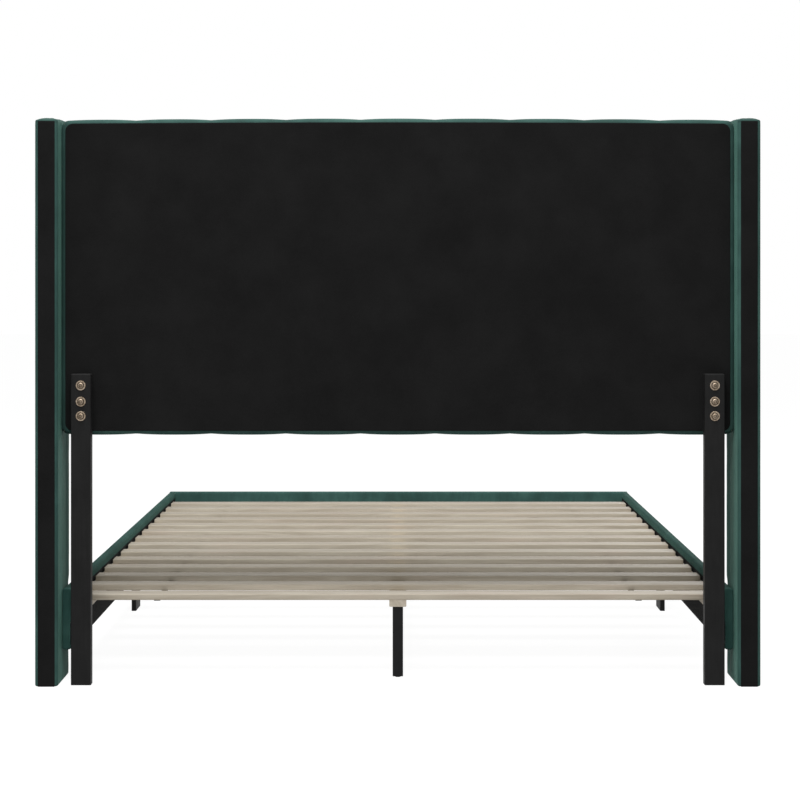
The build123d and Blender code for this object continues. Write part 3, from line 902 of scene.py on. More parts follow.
@dataclass(frozen=True)
class Stuffing:
    """Foam under a cover, blown up as cloth and held back by a cap."""

    pressure: float
    cap: float
    frames: int = 20
    slack: float = 0.01
    stiffness: float = 12.0
    bending: float = 0.4

    def swell(self, piece: bpy.types.Object, held: np.ndarray) -> None:
        """Swells a piece with the cloth solver and keeps the result in its mesh.

        Each point moves by cap * tanh(travel / cap) along its own path, so none goes further than the cap.

        Args:
            piece: closed padded piece.
            held: for each vertex, whether it is sewn or stapled.
        """
        mesh = piece.data
        rest = np.empty(len(mesh.vertices) * 3, dtype=np.float32)
        mesh.vertices.foreach_get("co", rest)
        rest = rest.reshape(-1, 3)
        group = piece.vertex_groups.new(name="held")
        group.add(np.flatnonzero(held).tolist(), 1.0, "REPLACE")
        modifier = piece.modifiers.new("swell", "CLOTH")
        for key, value in {
                "quality": 4, "mass": 0.35, "tension_stiffness": self.stiffness,
                "compression_stiffness": self.stiffness, "shear_stiffness": self.stiffness / 2,
                "bending_stiffness": self.bending, "use_pressure": True,
                "uniform_pressure_force": self.pressure, "shrink_min": -self.slack,
                "vertex_group_mass": group.name}.items():
            setattr(modifier.settings, key, value)
        modifier.settings.effector_weights.gravity = 0.0
        modifier.collision_settings.use_collision = False
        modifier.point_cache.frame_start = 1
        modifier.point_cache.frame_end = self.frames
        scene = bpy.context.scene
        for frame in range(1, self.frames + 1):
            scene.frame_set(frame)
        swollen = piece.evaluated_get(bpy.context.evaluated_depsgraph_get()).to_mesh()
        moved = np.empty(len(rest) * 3, dtype=np.float32)
        swollen.vertices.foreach_get("co", moved)
        travel = moved.reshape(-1, 3) - rest
        length = np.maximum(np.linalg.norm(travel, axis=1, keepdims=True), 1e-9)
        cap = self.cap * METRES_PER_MM
        kept = rest + travel * (cap * np.tanh(length / cap) / length)
        piece.modifiers.remove(modifier)
        piece.vertex_groups.remove(group)
        scene.frame_set(1)
        mesh.vertices.foreach_set("co", kept.astype(np.float32).ravel())
        mesh.update()


# Parts of the bed


@dataclass
class Part:
    """Sub-assembly, with the workshop that makes its pieces."""

    shop: Workshop


@dataclass
class Headboard(Part):
    """Channelled cushion over the headboard's frame, with black cloth on its back."""

    channel_count: int = 9
    rows_in_channel: int = 18
    crowding: float = 0.6
    groove: float = 15.0
    edge_groove: float = 2.8
    fullness: float = 2.5
    seam_width: float = 4.0
    seam_depth: float = 3.0
    edge_foam: float = 33.0
    end_round: float = 45.0
    top_arch: float = 3.5
    back_edge: float = 10.0
    side_round: float = 16.0
    side_edge: float = 7.0
    side_edge_reach: float = 20.0
    side_press: float = 0.4
    corner_power: float = 8.0
    closing_shift: float = 8.0
    closing_end: float = 40.0
    notch_fade: float = 30.0
    section_rows: tuple[int, ...] = (5, 4, 6, 5, 11, 30)
    side_rows: int = 8
    closing_rows: int = 6
    held_share: float = 0.985
    held_edge: float = 8.0
    held_side: float = 4.0
    under_painted_shade: float = 0.5
    under_span: tuple[float, float] = (14.0, 5.0)
    side_painted_shade: float = 0.8
    side_span: tuple[float, float] = (20.0, 12.0)
    stuffing: Stuffing = Stuffing(pressure=4.0, cap=4.0, slack=0.015)
    cloth_gap: float = 0.1
    cloth_edge: float = 0.4
    cloth_corner: float = 18.0
    cloth_hem: float = 14.0
    hem_step: float = 2.0
    hem_rise: float = 0.05
    cloth_arch: float = 3.0
    cloth_slack: float = 0.35
    cloth_wave: float = 210.0

    def section(self, box: Box) -> np.ndarray:
        """Section of the cushion from the middle of its back round the bottom, front and top.

        Its front corners are quarter ellipses: depth = edge_foam + (crest - edge_foam) * sin(swing) and
        height = bottom + end_round * (1 - cos(swing)). The upper half mirrors the lower one.

        Args:
            box: box of the cushion.

        Returns:
            Rows of the depth behind the back face, the height, the groove's depth and the scallop's rise.
        """
        bottom, crest = box.low[2], box.size[1]
        fade_start, fade_end = bottom + self.notch_fade, bottom + self.back_edge
        back_rows, fade_rows, turn_rows, under_rows, swing_rows, front_rows = self.section_rows
        back = np.linspace(box.centre[2], fade_start, back_rows)[:-1]
        fade = np.linspace(fade_start, fade_end, fade_rows)[:-1]
        turn = np.linspace(0, math.pi / 2, turn_rows)
        under = np.linspace(self.back_edge, self.edge_foam, under_rows)[1:-1]
        swing = np.linspace(0, math.pi / 2, swing_rows)
        front = np.linspace(bottom + self.end_round, box.centre[2], front_rows)[1:]
        scallop = self.edge_groove * np.cos(swing)
        lower = np.concatenate([np.stack(np.broadcast_arrays(*stretch)) for stretch in (
            (0.0, back, 0.0, 0.0),
            (0.0, fade, 0.0, self.edge_groove * smooth_step(fade, fade_start, fade_end)),
            (self.back_edge * (1 - np.cos(turn)), bottom + self.back_edge * (1 - np.sin(turn)), 0.0,
             self.edge_groove),
            (under, bottom, 0.0, self.edge_groove),
            (self.edge_foam + (crest - self.edge_foam) * np.sin(swing),
             bottom + self.end_round * (1 - np.cos(swing)), scallop + self.groove * np.sin(swing), scallop),
            (crest, front, self.groove, 0.0),
        )], axis=1)
        depth, height, groove, scallop = lower[:, -2:0:-1]
        upper = np.stack([depth, bottom + box.high[2] - height, groove, -scallop])
        return np.concatenate([lower, upper], axis=1)

    def stations(self, half: float) -> np.ndarray:
        """Places of the rings across the width.

        Rings crowd towards each seam: with s from -1 to 1 within a channel, x = centre + half_channel *
        ((1 - crowding) * s + crowding * sin(s pi / 2)). At the sides x = half - side_round * (1 - sin(turn)),
        while the section draws in by 1 - cos(turn) of its rounding, and then shrinks to its middle line.

        Args:
            half: half width of the cushion.

        Returns:
            Rows of the place, the share of the side rounding and the share of the closing.
        """
        pitch = 2 * half / self.channel_count
        step = np.linspace(-1, 1, self.rows_in_channel + 1)
        within = (1 - self.crowding) * step + self.crowding * np.sin(step * math.pi / 2)
        centres = pitch * (np.arange(self.channel_count) - (self.channel_count - 1) / 2)
        places = np.unique(np.round((centres[:, None] + pitch / 2 * within).ravel(), 6))
        places = places[np.abs(places) < half - self.side_round - 1.0]
        turn = np.linspace(0, math.pi / 2, self.side_rows)
        closing = np.linspace(0, 1, self.closing_rows)[1:]
        right = np.concatenate([np.stack(np.broadcast_arrays(*stretch)) for stretch in (
            (half - self.side_round * (1 - np.sin(turn)), 1 - np.cos(turn), 0.0),
            (half, 1.0, closing),
        )], axis=1)
        left = right[:, ::-1] * np.array([[-1], [1], [1]])
        return np.concatenate([left, np.stack(np.broadcast_arrays(places, 0.0, 0.0)), right], axis=1)

    def seam_share(self, x: np.ndarray, half: float) -> np.ndarray:
        """Share of the way from the middle of a channel to its seam."""
        return np.abs(((x / (2 * half / self.channel_count) + self.channel_count / 2) % 1.0) * 2 - 1)

    def cushion_rings(self, box: Box) -> np.ndarray:
        """Rings of the cushion across the bed.

        With t from 0 in the middle of a channel to 1 at its seam, the surface sinks by groove * t **
        fullness, plus a narrow valley seam_depth * exp(-(distance / seam_width) ** 2), and the top and bottom
        edges draw in by scallop * t ** fullness. The top also falls by top_arch * (x / half) ** 2.

        Args:
            box: box of the cushion.

        Returns:
            Array of rings by points by three coordinates.
        """
        half = box.size[0] / 2 + self.side_press
        depth, height, groove, scallop = self.section(box)
        x, rounding, shut = self.stations(half)[..., None]
        pitch = 2 * half / self.channel_count
        share = self.seam_share(x, half)
        share[np.abs(np.abs(x) - half) < TOLERANCE_MM] = 1.0
        dip = share ** self.fullness
        valley = np.exp(-(((1 - share) * pitch / 2) / self.seam_width) ** 2)
        valley[np.abs(x) > half - pitch / 4] = 0.0
        rise = (height - box.low[2]) / box.size[2]
        front = smooth_step(groove / self.groove, 0.3, 1.0)
        depth = depth - dip * groove - self.seam_depth * valley * front
        height = height + dip * scallop - self.top_arch * (x / half) ** 2 * rise ** 2
        middle = box.size[1] / 2 - self.closing_shift
        depth += rounding * self.side_edge * np.clip((middle - depth) / self.side_edge_reach, -1.0, 1.0)
        lean = np.clip((box.centre[2] - height) / (box.size[2] / 2), -1.0, 1.0)
        height += rounding * self.side_round * np.sign(lean) * np.abs(lean) ** self.corner_power
        line = np.clip(height, box.low[2] + self.closing_end, box.high[2] - self.closing_end)
        rings = np.empty((*depth.shape, 3))
        rings[..., 0] = x
        rings[..., 1] = box.high[1] - (depth + shut * (middle - depth))
        rings[..., 2] = height + shut * (line - height)
        return rings

    def cushion(self) -> None:
        """Makes the channelled cushion and swells it between its seams."""
        box = Box.of("headboard_channel_pad")
        piece = self.shop.put("headboard_cushion", [self.cushion_rings(box)], "green_velvet",
                              sharp_degrees=80.0, replaces=("headboard_channel_pad",))
        x, y, z = vertex_points(piece).T
        half = box.size[0] / 2
        # Painted shade: the velvet is darkened along the cushion's underside and down its two sides.
        under = smooth_step(z - box.low[2], *self.under_span)
        beside = smooth_step(half - np.abs(x), *self.side_span)
        mark(piece, "turned_nap", np.maximum(self.under_painted_shade * under, self.side_painted_shade * beside))
        held = ((self.seam_share(x, half) > self.held_share)
                | (box.high[1] - y < self.edge_foam - self.held_edge)
                | (np.abs(x) > half - self.held_side))
        self.stuffing.swell(piece, held)
        refine(piece)

    def back_cloth(self) -> None:
        """Makes the black cloth over the back, turned in at its hem and a little slack between staples.

        The sheet is a thin slab of rounded loops. Its outer face waves by cloth_slack, less towards the hem,
        and stands hem_rise proud over the hem's width. Its top falls by cloth_arch * (x / half) ** 2.
        """
        box = Box.of("headboard_back_cover")
        half_x, _, half_z = box.size / 2
        thick = box.size[1] - 2 * self.cloth_gap
        hem = self.cloth_hem
        insets = np.concatenate([[half_z, self.cloth_edge, 0.0, 0.0, self.cloth_edge],
                                 np.linspace(self.hem_step, hem, 4),
                                 np.linspace(hem + self.hem_step, half_z, 34)])
        layers = np.ones(len(insets))
        layers[:4] = 0.0, 0.0, 0.3, 0.7
        profile = EdgeProfile(insets, box.low[1] + self.cloth_gap + thick * layers)
        rings = carried(box, Along.Y, Loop(110, 50, corner=8), self.cloth_corner, profile)
        outer = np.arange(len(insets)) >= 5
        drop = self.cloth_arch * (rings[..., 0] / half_x) ** 2
        rings[..., 2] -= drop * smooth_step(rings[..., 2], box.centre[2], box.high[2])
        ease = smooth_step(insets, self.hem_step, hem * 3) * outer
        rings[..., 1] -= self.cloth_slack * ease[:, None] * ripple(rings, self.cloth_wave, 3)
        proud = smooth_step(insets, hem + self.hem_step, hem - self.hem_step) * outer
        rings[..., 1] += self.hem_rise * proud[:, None]
        piece = self.shop.put("headboard_back_cloth", [rings], "black_cloth",
                              replaces=("headboard_back_cover",))

    def build(self) -> None:
        """Makes the pieces of the headboard."""
        self.cushion()
        self.back_cloth()


@dataclass
class Wing(Part):
    """Full-height padded wing."""

    side: Side
    edge: float = 9.0
    foot_edge: float = 4.0
    crown_edge: float = 4.5
    dome: float = 3.4
    dome_rise: float = 2.6
    inner_lift: float = 6.0
    lift_start: float = 0.2
    lift_depth: float = 45.0
    outer_fullness: float = 1.2
    inner_fullness: float = 1.8
    inner_reach: float = 3.4
    cushion_front: float = 110.0
    cushion_ease: float = 10.0
    rail_top: float = 226.0
    rail_ease: float = 14.0
    spacing: float = 9.0
    stapled: float = 14.0
    sole: float = 6.0
    joint_depth: float = 60.0
    front_seam: float = 11.0
    seam_depth: float = 1.1
    seam_width: float = 1.7
    seam_rows: tuple[float, ...] = (-3.5, -1.7, -0.8, 0.0, 0.8, 1.7, 3.5)
    shade_edge: float = 0.4
    crown_span: tuple[float, float] = (12.0, 6.0)
    stuffing: Stuffing = Stuffing(pressure=2.5, cap=1.6, slack=0.006)

    def seam_depths(self, box: Box) -> tuple[float, float]:
        """Depths of the two upright seams behind the wing's back face."""
        return (self.joint_depth, box.size[1] - self.front_seam)

    def loop(self, box: Box) -> Loop:
        """Samples the section, with extra points close to the seams.

        Args:
            box: box of the wing's cover.

        Returns:
            The sampling.
        """
        depths = np.array(self.seam_depths(box))[:, None] + np.array(self.seam_rows)
        shares = (depths.ravel() - self.edge) / (box.size[1] - 2 * self.edge)
        return Loop(7, 15, corner=6, extra_b=tuple(float(share) for share in shares if 0.0 < share < 1.0))

    def rings(self, box: Box) -> np.ndarray:
        """Rings of the wing from its sole to its domed top.

        Each ring is a rounded rectangle drawn in by the profile's inset. Over the shoulder the rings rise by
        (dome + dome_rise) * (1 - (inset left / span) ** 2), so the top is a shallow vault. Towards the
        headboard it is lifted by inner_lift, with a smooth step across the wing and one from its back.

        Args:
            box: box of the wing's cover.

        Returns:
            Array of rings by points by three coordinates.
        """
        full = box.beside(self.side, box.inner, box.outer + self.outer_fullness)
        half_x = full.size[0] / 2
        sole, shoulder = box.low[2], box.high[2] - self.dome
        profile = EdgeProfile.rounded(sole, shoulder, self.edge, self.spacing, half_x, turns=6, rings=5)
        insets, places = profile.insets.copy(), profile.places.copy()
        rounded = insets <= self.edge
        foot = places < sole + self.edge
        insets[foot & rounded] *= self.foot_edge / self.edge
        places[foot] = sole + (places[foot] - sole) * self.foot_edge / self.edge
        crown = rounded & (places > shoulder - self.edge)
        insets[crown] *= self.crown_edge / self.edge
        places[crown] = shoulder - (shoulder - places[crown]) * self.crown_edge / self.edge
        vault = np.clip(insets - self.crown_edge, 0.0, None) * (places >= shoulder - TOLERANCE_MM)
        left = 1 - vault / (half_x - self.crown_edge)
        places = places + (self.dome + self.dome_rise) * (1 - left ** 2)
        rings = carried(full, Along.Z, self.loop(box), self.edge, EdgeProfile(insets, places))
        x, y, z = np.moveaxis(rings, -1, 0)
        z += (self.inner_lift
              * smooth_step(self.side.value * (full.centre[0] - x) / half_x, self.lift_start, 1.0)
              * smooth_step(box.high[1] - y, 0.0, self.lift_depth)
              * smooth_step(z, shoulder - 3 * self.edge, shoulder - self.crown_edge))
        return rings

    def sew(self, piece: bpy.types.Object, box: Box) -> None:
        """Draws the two seams into the swollen cover, and paints shade on the velvet in front of the first seam
        and over the crown.

        A seam is a valley seam_depth * exp(-(distance / seam_width) ** 2) towards the wing's middle plane.
        The inner face stays off the headboard and the rail, and is fuller where it is clear of both.

        Args:
            piece: swollen cover.
            box: box of the wing's cover.
        """
        sign = self.side.value
        points = vertex_points(piece)
        x, y, z = points.T
        depth = box.high[1] - y
        distance = np.min([np.abs(depth - seam) for seam in self.seam_depths(box)], axis=0)
        valley = self.seam_depth * np.exp(-(distance / self.seam_width) ** 2)
        across = np.clip((x - box.centre[0]) / (box.size[0] / 2), -1.0, 1.0)
        upright = smooth_step(z, box.high[2] - self.edge, box.high[2] - 3 * self.edge)
        x -= across * valley * upright
        z -= valley * (1 - upright)
        clear = (smooth_step(depth, self.cushion_front, self.cushion_front + self.cushion_ease)
                 * smooth_step(z, self.rail_top, self.rail_top + self.rail_ease))
        x -= sign * self.inner_fullness * clear * smooth_step(-sign * across, 0.0, 0.9)
        x[:] = sign * np.maximum(sign * x, box.inner - self.inner_reach * clear)
        z[:] = np.maximum(z, box.low[2])
        y[:] = np.minimum(y, box.high[1])
        move_points(piece, points)
        # Painted shade: the velvet in front of the joint seam and over the domed crown is darkened.
        front = smooth_step(depth, self.joint_depth - self.shade_edge, self.joint_depth + self.shade_edge)
        mark(piece, "turned_nap", np.maximum(front, smooth_step(box.high[2] - z, *self.crown_span)))

    def build(self) -> None:
        """Makes the wing's velvet cover, swollen between its seams."""
        name = self.side.name.lower()
        box = Box.of(f"wing_{name}_cover")
        piece = self.shop.put(f"wing_{name}_velvet", [self.rings(box)], "green_velvet", sharp_degrees=80.0,
                              replaces=(f"wing_{name}_cover",))
        _, y, z = vertex_points(piece).T
        self.stuffing.swell(piece, (y > box.high[1] - self.stapled) | (z < box.low[2] + self.sole))
        self.sew(piece, box)
        refine(piece)


@dataclass
class WingStrips(Part):
    """Black cloth strips up the back edges of both wings."""

    corner: float = 1.5
    edge: float = 0.2
    gap: float = 0.1
    spacing: float = 1.0
    slack: float = 0.12
    wave: float = 90.0
    area_share: float = 0.999

    def build(self) -> None:
        """Makes both strips as thin slabs that wave a little along their length."""
        box = Box.of("wing_back_strips")
        low, high = box.low[1] + self.gap, box.high[1] - self.gap
        half_x = box.high[0] - Box.of("wing_right_cover").centre[0]
        rings = []
        for side in Side:
            own = box.fitted(Along.Y, low, high).beside(side, box.high[0] - 2 * half_x, box.high[0])
            strip = bar(own, Along.Y, Loop(5, 150, corner=4), self.corner, self.edge, self.spacing,
                        turns=2, rings=4)
            rear = smooth_step(strip[..., 1], box.centre[1], high)
            strip[..., 1] -= self.slack * rear * ripple(strip, self.wave, 11)
            rings.append(strip)
        piece = self.shop.put("wing_strip_cloth", rings, "black_cloth", replaces=("wing_back_strips",))


@dataclass
class Rails(Part):
    """Velvet round the side and foot rails, with black cloth low on the side rails' inner faces."""

    section: Loop = Loop(5, 24, corner=6)
    edge: float = 6.0
    end_edge: float = 3.0
    spacing: float = 26.0
    liner_recess: float = 1.0
    recess_reach: float = 4.0
    slackness: float = 0.25
    slack_reach: float = 3.0
    wave: float = 240.0
    step_height: float = 0.5
    step_length: float = 1.0
    liner_gap: float = 0.1
    liner_corner: float = 1.0
    liner_edge: float = 0.2
    lining_drop: float = 8.0
    side_painted_shade: float = 1.0
    end_painted_light: float = -1.0
    end_span: tuple[float, float] = (2.0, 12.0)
    foot_painted_light: float = -1.0

    def cover(self, piece: bpy.types.Object, painted_tone: np.ndarray) -> None:
        """Finishes a rail's padded cover.

        Args:
            piece: the cover.
            painted_tone: painted light and shade at each point; below zero lightens the velvet, above zero
                darkens it.
        """
        mark(piece, "turned_nap", painted_tone)
        refine(piece)

    def side_rail(self, side: Side) -> None:
        """Makes the cover of one side rail.

        The section is a rounded rectangle whose inner face steps back by liner_recess where the liner lies.

        Args:
            side: side of the bed.
        """
        name = side.name.lower()
        box, liner = Box.of(f"rail_{name}_cover"), Box.of(f"rail_{name}_liner")
        rings = bar(box, Along.Y, self.section, self.edge, self.end_edge, self.spacing)
        x, y, z = np.moveaxis(rings, -1, 0)
        distance = np.abs(x) - box.inner
        lining_low = liner.low[2] - self.lining_drop
        window = (smooth_step(z, lining_low - self.step_height, lining_low + self.step_height)
                  * smooth_step(z, liner.high[2] + self.step_height, liner.high[2] - self.step_height)
                  * smooth_step(y, liner.low[1] - self.step_length, liner.low[1])
                  * smooth_step(y, liner.high[1] + self.step_length, liner.high[1]))
        x += side.value * self.liner_recess * window * smooth_step(distance, self.recess_reach, 0.0)
        outer = smooth_step(distance, box.size[0] - self.slack_reach, box.size[0])
        x -= side.value * self.slackness * outer * ripple(rings, self.wave, 20 + side.value)
        piece = self.shop.put(f"rail_{name}_velvet", [rings], "green_velvet", "green_velvet_smoothed",
                              sharp_degrees=60.0, replaces=(f"rail_{name}_cover",))
        # Painted shade darkens the side rail, and painted light brightens its head end.
        behind = smooth_step(box.high[1] - vertex_points(piece)[:, 1], *self.end_span)
        self.cover(piece, self.side_painted_shade * behind + self.end_painted_light * (1 - behind))

    def liner(self, side: Side) -> None:
        """Makes the black liner low on one side rail's inner face, as a thin slab down to its lower edge.

        Args:
            side: side of the bed.
        """
        name = side.name.lower()
        box = Box.of(f"rail_{name}_liner")
        box = box.fitted(Along.Z, box.low[2] - self.lining_drop, box.high[2])
        slab = box.fitted(Along.X, box.low[0] + self.liner_gap, box.high[0] - self.liner_gap)
        rings = bar(slab, Along.X, Loop(80, 5, corner=3), self.liner_corner, self.liner_edge, 1.0,
                    turns=2, rings=4)
        piece = self.shop.put(f"rail_{name}_lining", [rings], "black_cloth",
                              replaces=(f"rail_{name}_liner",))

    def foot_rail(self) -> None:
        """Makes the cover of the foot rail, whose outer face waves by slackness."""
        box = Box.of("foot_cover")
        rings = bar(box, Along.X, self.section, self.edge, self.end_edge, self.spacing)
        outer = smooth_step(rings[..., 1], box.centre[1], box.low[1])
        rings[..., 1] += self.slackness * outer * ripple(rings, self.wave, 31)
        piece = self.shop.put("foot_rail_velvet", [rings], "green_velvet", sharp_degrees=60.0,
                              replaces=("foot_cover",))
        # Painted light brightens the whole foot rail.
        self.cover(piece, np.full(len(piece.data.vertices), self.foot_painted_light))

    def build(self) -> None:
        """Makes the covers and liners of all rails."""
        for side in Side:
            self.side_rail(side)
            self.liner(side)
        self.foot_rail()


@dataclass
class SlatDeck(Part):
    """Fourteen planed slats on their straps."""

    slat_count: int = 14
    edge: float = 1.3
    end_edge: float = 0.8
    spacing: float = 90.0
    spring: float = 0.4
    edge_painted_light: float = 0.58
    first_slat_painted_light: dict[int, tuple[float, float]] = field(
        default_factory=lambda: {0: (-0.06, 0.26), 1: (0.16, 0.5)})
    strap_width: float = 15.0
    strap_edge: float = 0.6
    strap_sag: float = 1.2
    strap_spacing: float = 12.0

    def slat(self, index: int) -> None:
        """Makes one slat with rounded edges, painted light on its upright long faces, and a slight bow that no
        other slat shares.

        Only its top face bows: it falls by spring * (x / half) ** 2, times a share of its own.

        Args:
            index: number of the slat from the head.
        """
        node = f"slat_{index + 1:02d}"
        box = Box.of(node)
        rings = bar(box, Along.X, Loop(3, 2, corner=5), self.edge, self.end_edge, self.spacing,
                    turns=2, rings=1)
        share = np.random.default_rng(index).uniform(0.2, 1.0)
        upper = smooth_step(rings[..., 2], box.centre[2], box.high[2])
        rings[..., 2] -= self.spring * share * upper * (rings[..., 0] / (box.size[0] / 2)) ** 2
        piece = self.shop.put(f"{node}_planed", [rings], "pale_timber", sharp_degrees=50.0,
                              replaces=(node,))
        # Painted light on the upright long faces; the first slat is painted a little darker and the second
        # lighter all over.
        across = np.abs(vertex_points(piece)[:, 1] - box.centre[1])
        painted_light_edge = smooth_step(across, box.size[1] / 2 - self.edge, box.size[1] / 2 - self.edge / 2)
        plain_painted_light, edge_painted_light = self.first_slat_painted_light.get(index, (0.0, self.edge_painted_light))
        mark(piece, "board_gain", plain_painted_light + edge_painted_light * painted_light_edge)

    def straps(self) -> None:
        """Makes the two webbing straps, which sag by strap_sag, eased, between the slats."""
        box = Box.of("slat_straps")
        first, second = Box.of("slat_01").centre[1], Box.of("slat_02").centre[1]
        rings = []
        for side in Side:
            own = box.beside(side, box.high[0] - self.strap_width, box.high[0])
            strap = bar(own, Along.Y, Loop(5, 1, corner=3), self.strap_edge, self.strap_edge,
                        self.strap_spacing, turns=2, rings=1)
            phase = (first - strap[..., 1]) / (first - second)
            strap[..., 2] -= self.strap_sag * smooth_step(np.abs((phase % 1.0) - 0.5), 0.3, 0.0)
            rings.append(strap)
        piece = self.shop.put("slat_strap_webbing", rings, "strap_webbing", replaces=("slat_straps",))

    def build(self) -> None:
        """Makes every slat and the straps."""
        for index in range(self.slat_count):
            self.slat(index)
        self.straps()


@dataclass(frozen=True)
class DomedHead:
    """Domed head with a hexagonal socket."""

    radius: float
    height: float
    across: float
    depth: float
    rim_share: float = 0.22
    dome_turn: float = 0.36 * math.pi
    lip_width: float = 0.35
    lip_depth: float = 0.25
    tip: float = 0.3

    def profile(self, shank: list[tuple[float, float]], base: float) -> np.ndarray:
        """Profile from the end of a shank to the bottom of the socket.

        The dome is a quarter ellipse: radius * cos(turn) and base + rim + rest * sin(turn), cut off where
        the socket starts.

        Args:
            shank: radius and height of each ring below the head.
            base: height at which the head starts.

        Returns:
            Rows of radius, height and share of hexagon.
        """
        rim, top, socket = self.rim_share * self.height, base + self.height, self.across / 2
        bottom = top - self.depth
        turn = np.linspace(0, self.dome_turn, 7)[1:]
        rise = base + rim + (self.height - rim) * np.sin(turn) / np.sin(turn[-1])
        return np.concatenate([
            [(radius, height, 0.0) for radius, height in shank],
            [(self.radius, base, 0.0), (self.radius, base + rim, 0.0)],
            np.stack([self.radius * np.cos(turn), rise, 0 * turn], axis=1),
            [(socket + self.lip_width, top, 0.6), (socket, top - self.lip_depth, 1.0), (socket, bottom, 1.0),
             (socket / 2, bottom - self.tip, 0.5), (0.0, bottom - 2 * self.tip, 0.0)],
        ]).T


@dataclass
class Hardware(Part):
    """Bolts in the posts and screws in the brackets, ledgers and legs."""

    bolt_head: DomedHead = DomedHead(radius=7.2, height=4.6, across=6.0, depth=3.0)
    bolt_pitch: float = 34.0
    washer_radius: float = 11.5
    washer_thickness: float = 1.6
    washer_edge: float = 0.25
    head_groove: float = 0.9
    shaft_radius: float = 4.0
    bolt_steps: int = 36
    groove_shade: tuple[float, float] = (0.1, 0.8)
    socket_shade: tuple[float, float] = (0.5, 0.9)
    screw_head: DomedHead = DomedHead(radius=4.6, height=2.4, across=2.6, depth=1.2)
    screw_radius: float = 2.0
    screw_length: float = 2.5
    screw_steps: int = 24
    plate: float = 3.0
    plank: float = 13.0
    cleat_screw: tuple[float, float] = (15.0, 20.0)
    bracket_screw: float = 30.0
    ledger_screw: float = 120.0
    ledger_screws: int = 7
    leg_screw: float = 24.0
    leg_shares: tuple[float, float] = (0.3, 0.7)

    def post_bolts(self) -> None:
        """Makes the six bolts with their washers, each a turned form, with painted shade in groove and socket.

        The painted shade is the sum of exp(-((reach - radius - offset) / width) ** 2) over groove and socket.
        """
        box, post = Box.of("post_bolts"), Box.of("post_right")
        washer, thick, edge = self.washer_radius, self.washer_thickness, self.washer_edge
        low, high = box.low[2] + washer, box.high[2] - washer
        levels = (low, low + self.bolt_pitch, high)
        middle = box.high[0] - washer
        length = post.high[1] - box.low[1]
        head = self.bolt_head.radius
        lip, well = head + self.head_groove, thick - self.head_groove
        profile = self.bolt_head.profile([
            (0.0, -length), (self.shaft_radius, -length), (self.shaft_radius, 0.0), (washer - edge, 0.0),
            (washer, edge), (washer, thick - edge), (washer - edge, thick), (lip + edge, thick),
            (lip, thick - edge), (lip - edge, well), (head, well)], thick)
        rings = [turned(profile, self.bolt_steps, (side.value * middle, post.high[1], level), (0.0, 1.0, 0.0))
                 for side in Side for level in levels]
        piece = self.shop.put("post_bolt_heads", rings, "bronze_steel", sharp_degrees=35.0,
                              replaces=("post_bolts",))
        x, _, z = vertex_points(piece).T
        up = np.min(np.abs(z[:, None] - np.array(levels)), axis=1)
        reach = np.sqrt((np.abs(x) - middle) ** 2 + up ** 2)
        # Painted shade round the head's groove and in the socket.
        hollow_shade = [np.exp(-((reach - radius - offset) / width) ** 2) for radius, (offset, width) in (
            (head, self.groove_shade), (self.bolt_head.across / 2, self.socket_shade))]
        mark(piece, "hollow", np.clip(hollow_shade[0] + hollow_shade[1], 0.0, 1.0))

    def screw_places(self) -> list[tuple[Place, Place]]:
        """Places of the screws in the cleat, the brackets, the ledgers and the plank legs.

        Returns:
            For each screw a point on the face that it bears on and the direction of its head.
        """
        head, foot, cleat, ledger, post = (Box.of(node) for node in (
            "head_brackets", "foot_brackets", "beam_cleat", "ledger_right", "post_right"))
        face = cleat.low[1] + self.plate
        spread, rise = self.cleat_screw
        places = [((sign * spread, face, cleat.low[2] + rise), (0.0, 1.0, 0.0)) for sign in (-1, 1)]
        run = np.linspace(ledger.low[1] + self.ledger_screw, ledger.high[1] - self.ledger_screw,
                          self.ledger_screws)
        for side in Side:
            sign = side.value
            inward = (-1.0 * sign, 0.0, 0.0)
            places += [
                ((sign * post.centre[0], head.high[1] - self.plate, head.centre[2]), (0.0, -1.0, 0.0)),
                ((sign * (foot.high[0] - self.bracket_screw), face, foot.centre[2]), (0.0, 1.0, 0.0)),
                ((sign * (foot.high[0] - self.plate), foot.low[1] + self.bracket_screw, foot.centre[2]),
                 inward),
                *(((sign * ledger.low[0], y, ledger.centre[2]), inward) for y in run),
            ]
            for leg in (Box.of("mid_legs"), Box.of("foot_legs")):
                places += [
                    ((sign * (leg.high[0] - self.plank), leg.low[1] + share * leg.size[1],
                      leg.high[2] - self.leg_screw), inward) for share in self.leg_shares]
        return places

    def screws(self) -> None:
        """Makes the pan-head screws, each a turned form."""
        radius, length = self.screw_radius, self.screw_length
        profile = self.screw_head.profile([(0.0, -length), (radius, -length), (radius, 0.0)], 0.0)
        rings = [turned(profile, self.screw_steps, *place) for place in self.screw_places()]
        self.shop.put("frame_screws", rings, "zinc_steel", sharp_degrees=35.0)

    def build(self) -> None:
        """Makes the bolts and the screws."""
        self.post_bolts()
        self.screws()


@dataclass(frozen=True)
class Lamp:
    """Soft square lamp, with its places and side in metres and its power in watts."""

    name: str
    place: Place
    aim: Place
    side: float
    power: float

    def hang(self) -> None:
        """Hangs the lamp and turns it to what it lights."""
        data = bpy.data.lights.new(self.name, "AREA")
        data.shape = "SQUARE"
        data.size = self.side
        data.energy = self.power
        lamp = placed(self.name, data)
        lamp.location = self.place
        away = np.array(self.place) - np.array(self.aim)
        away /= np.linalg.norm(away)
        lamp.rotation_euler = (math.acos(away[2]), 0.0, math.atan2(away[1], away[0]) + math.pi / 2)


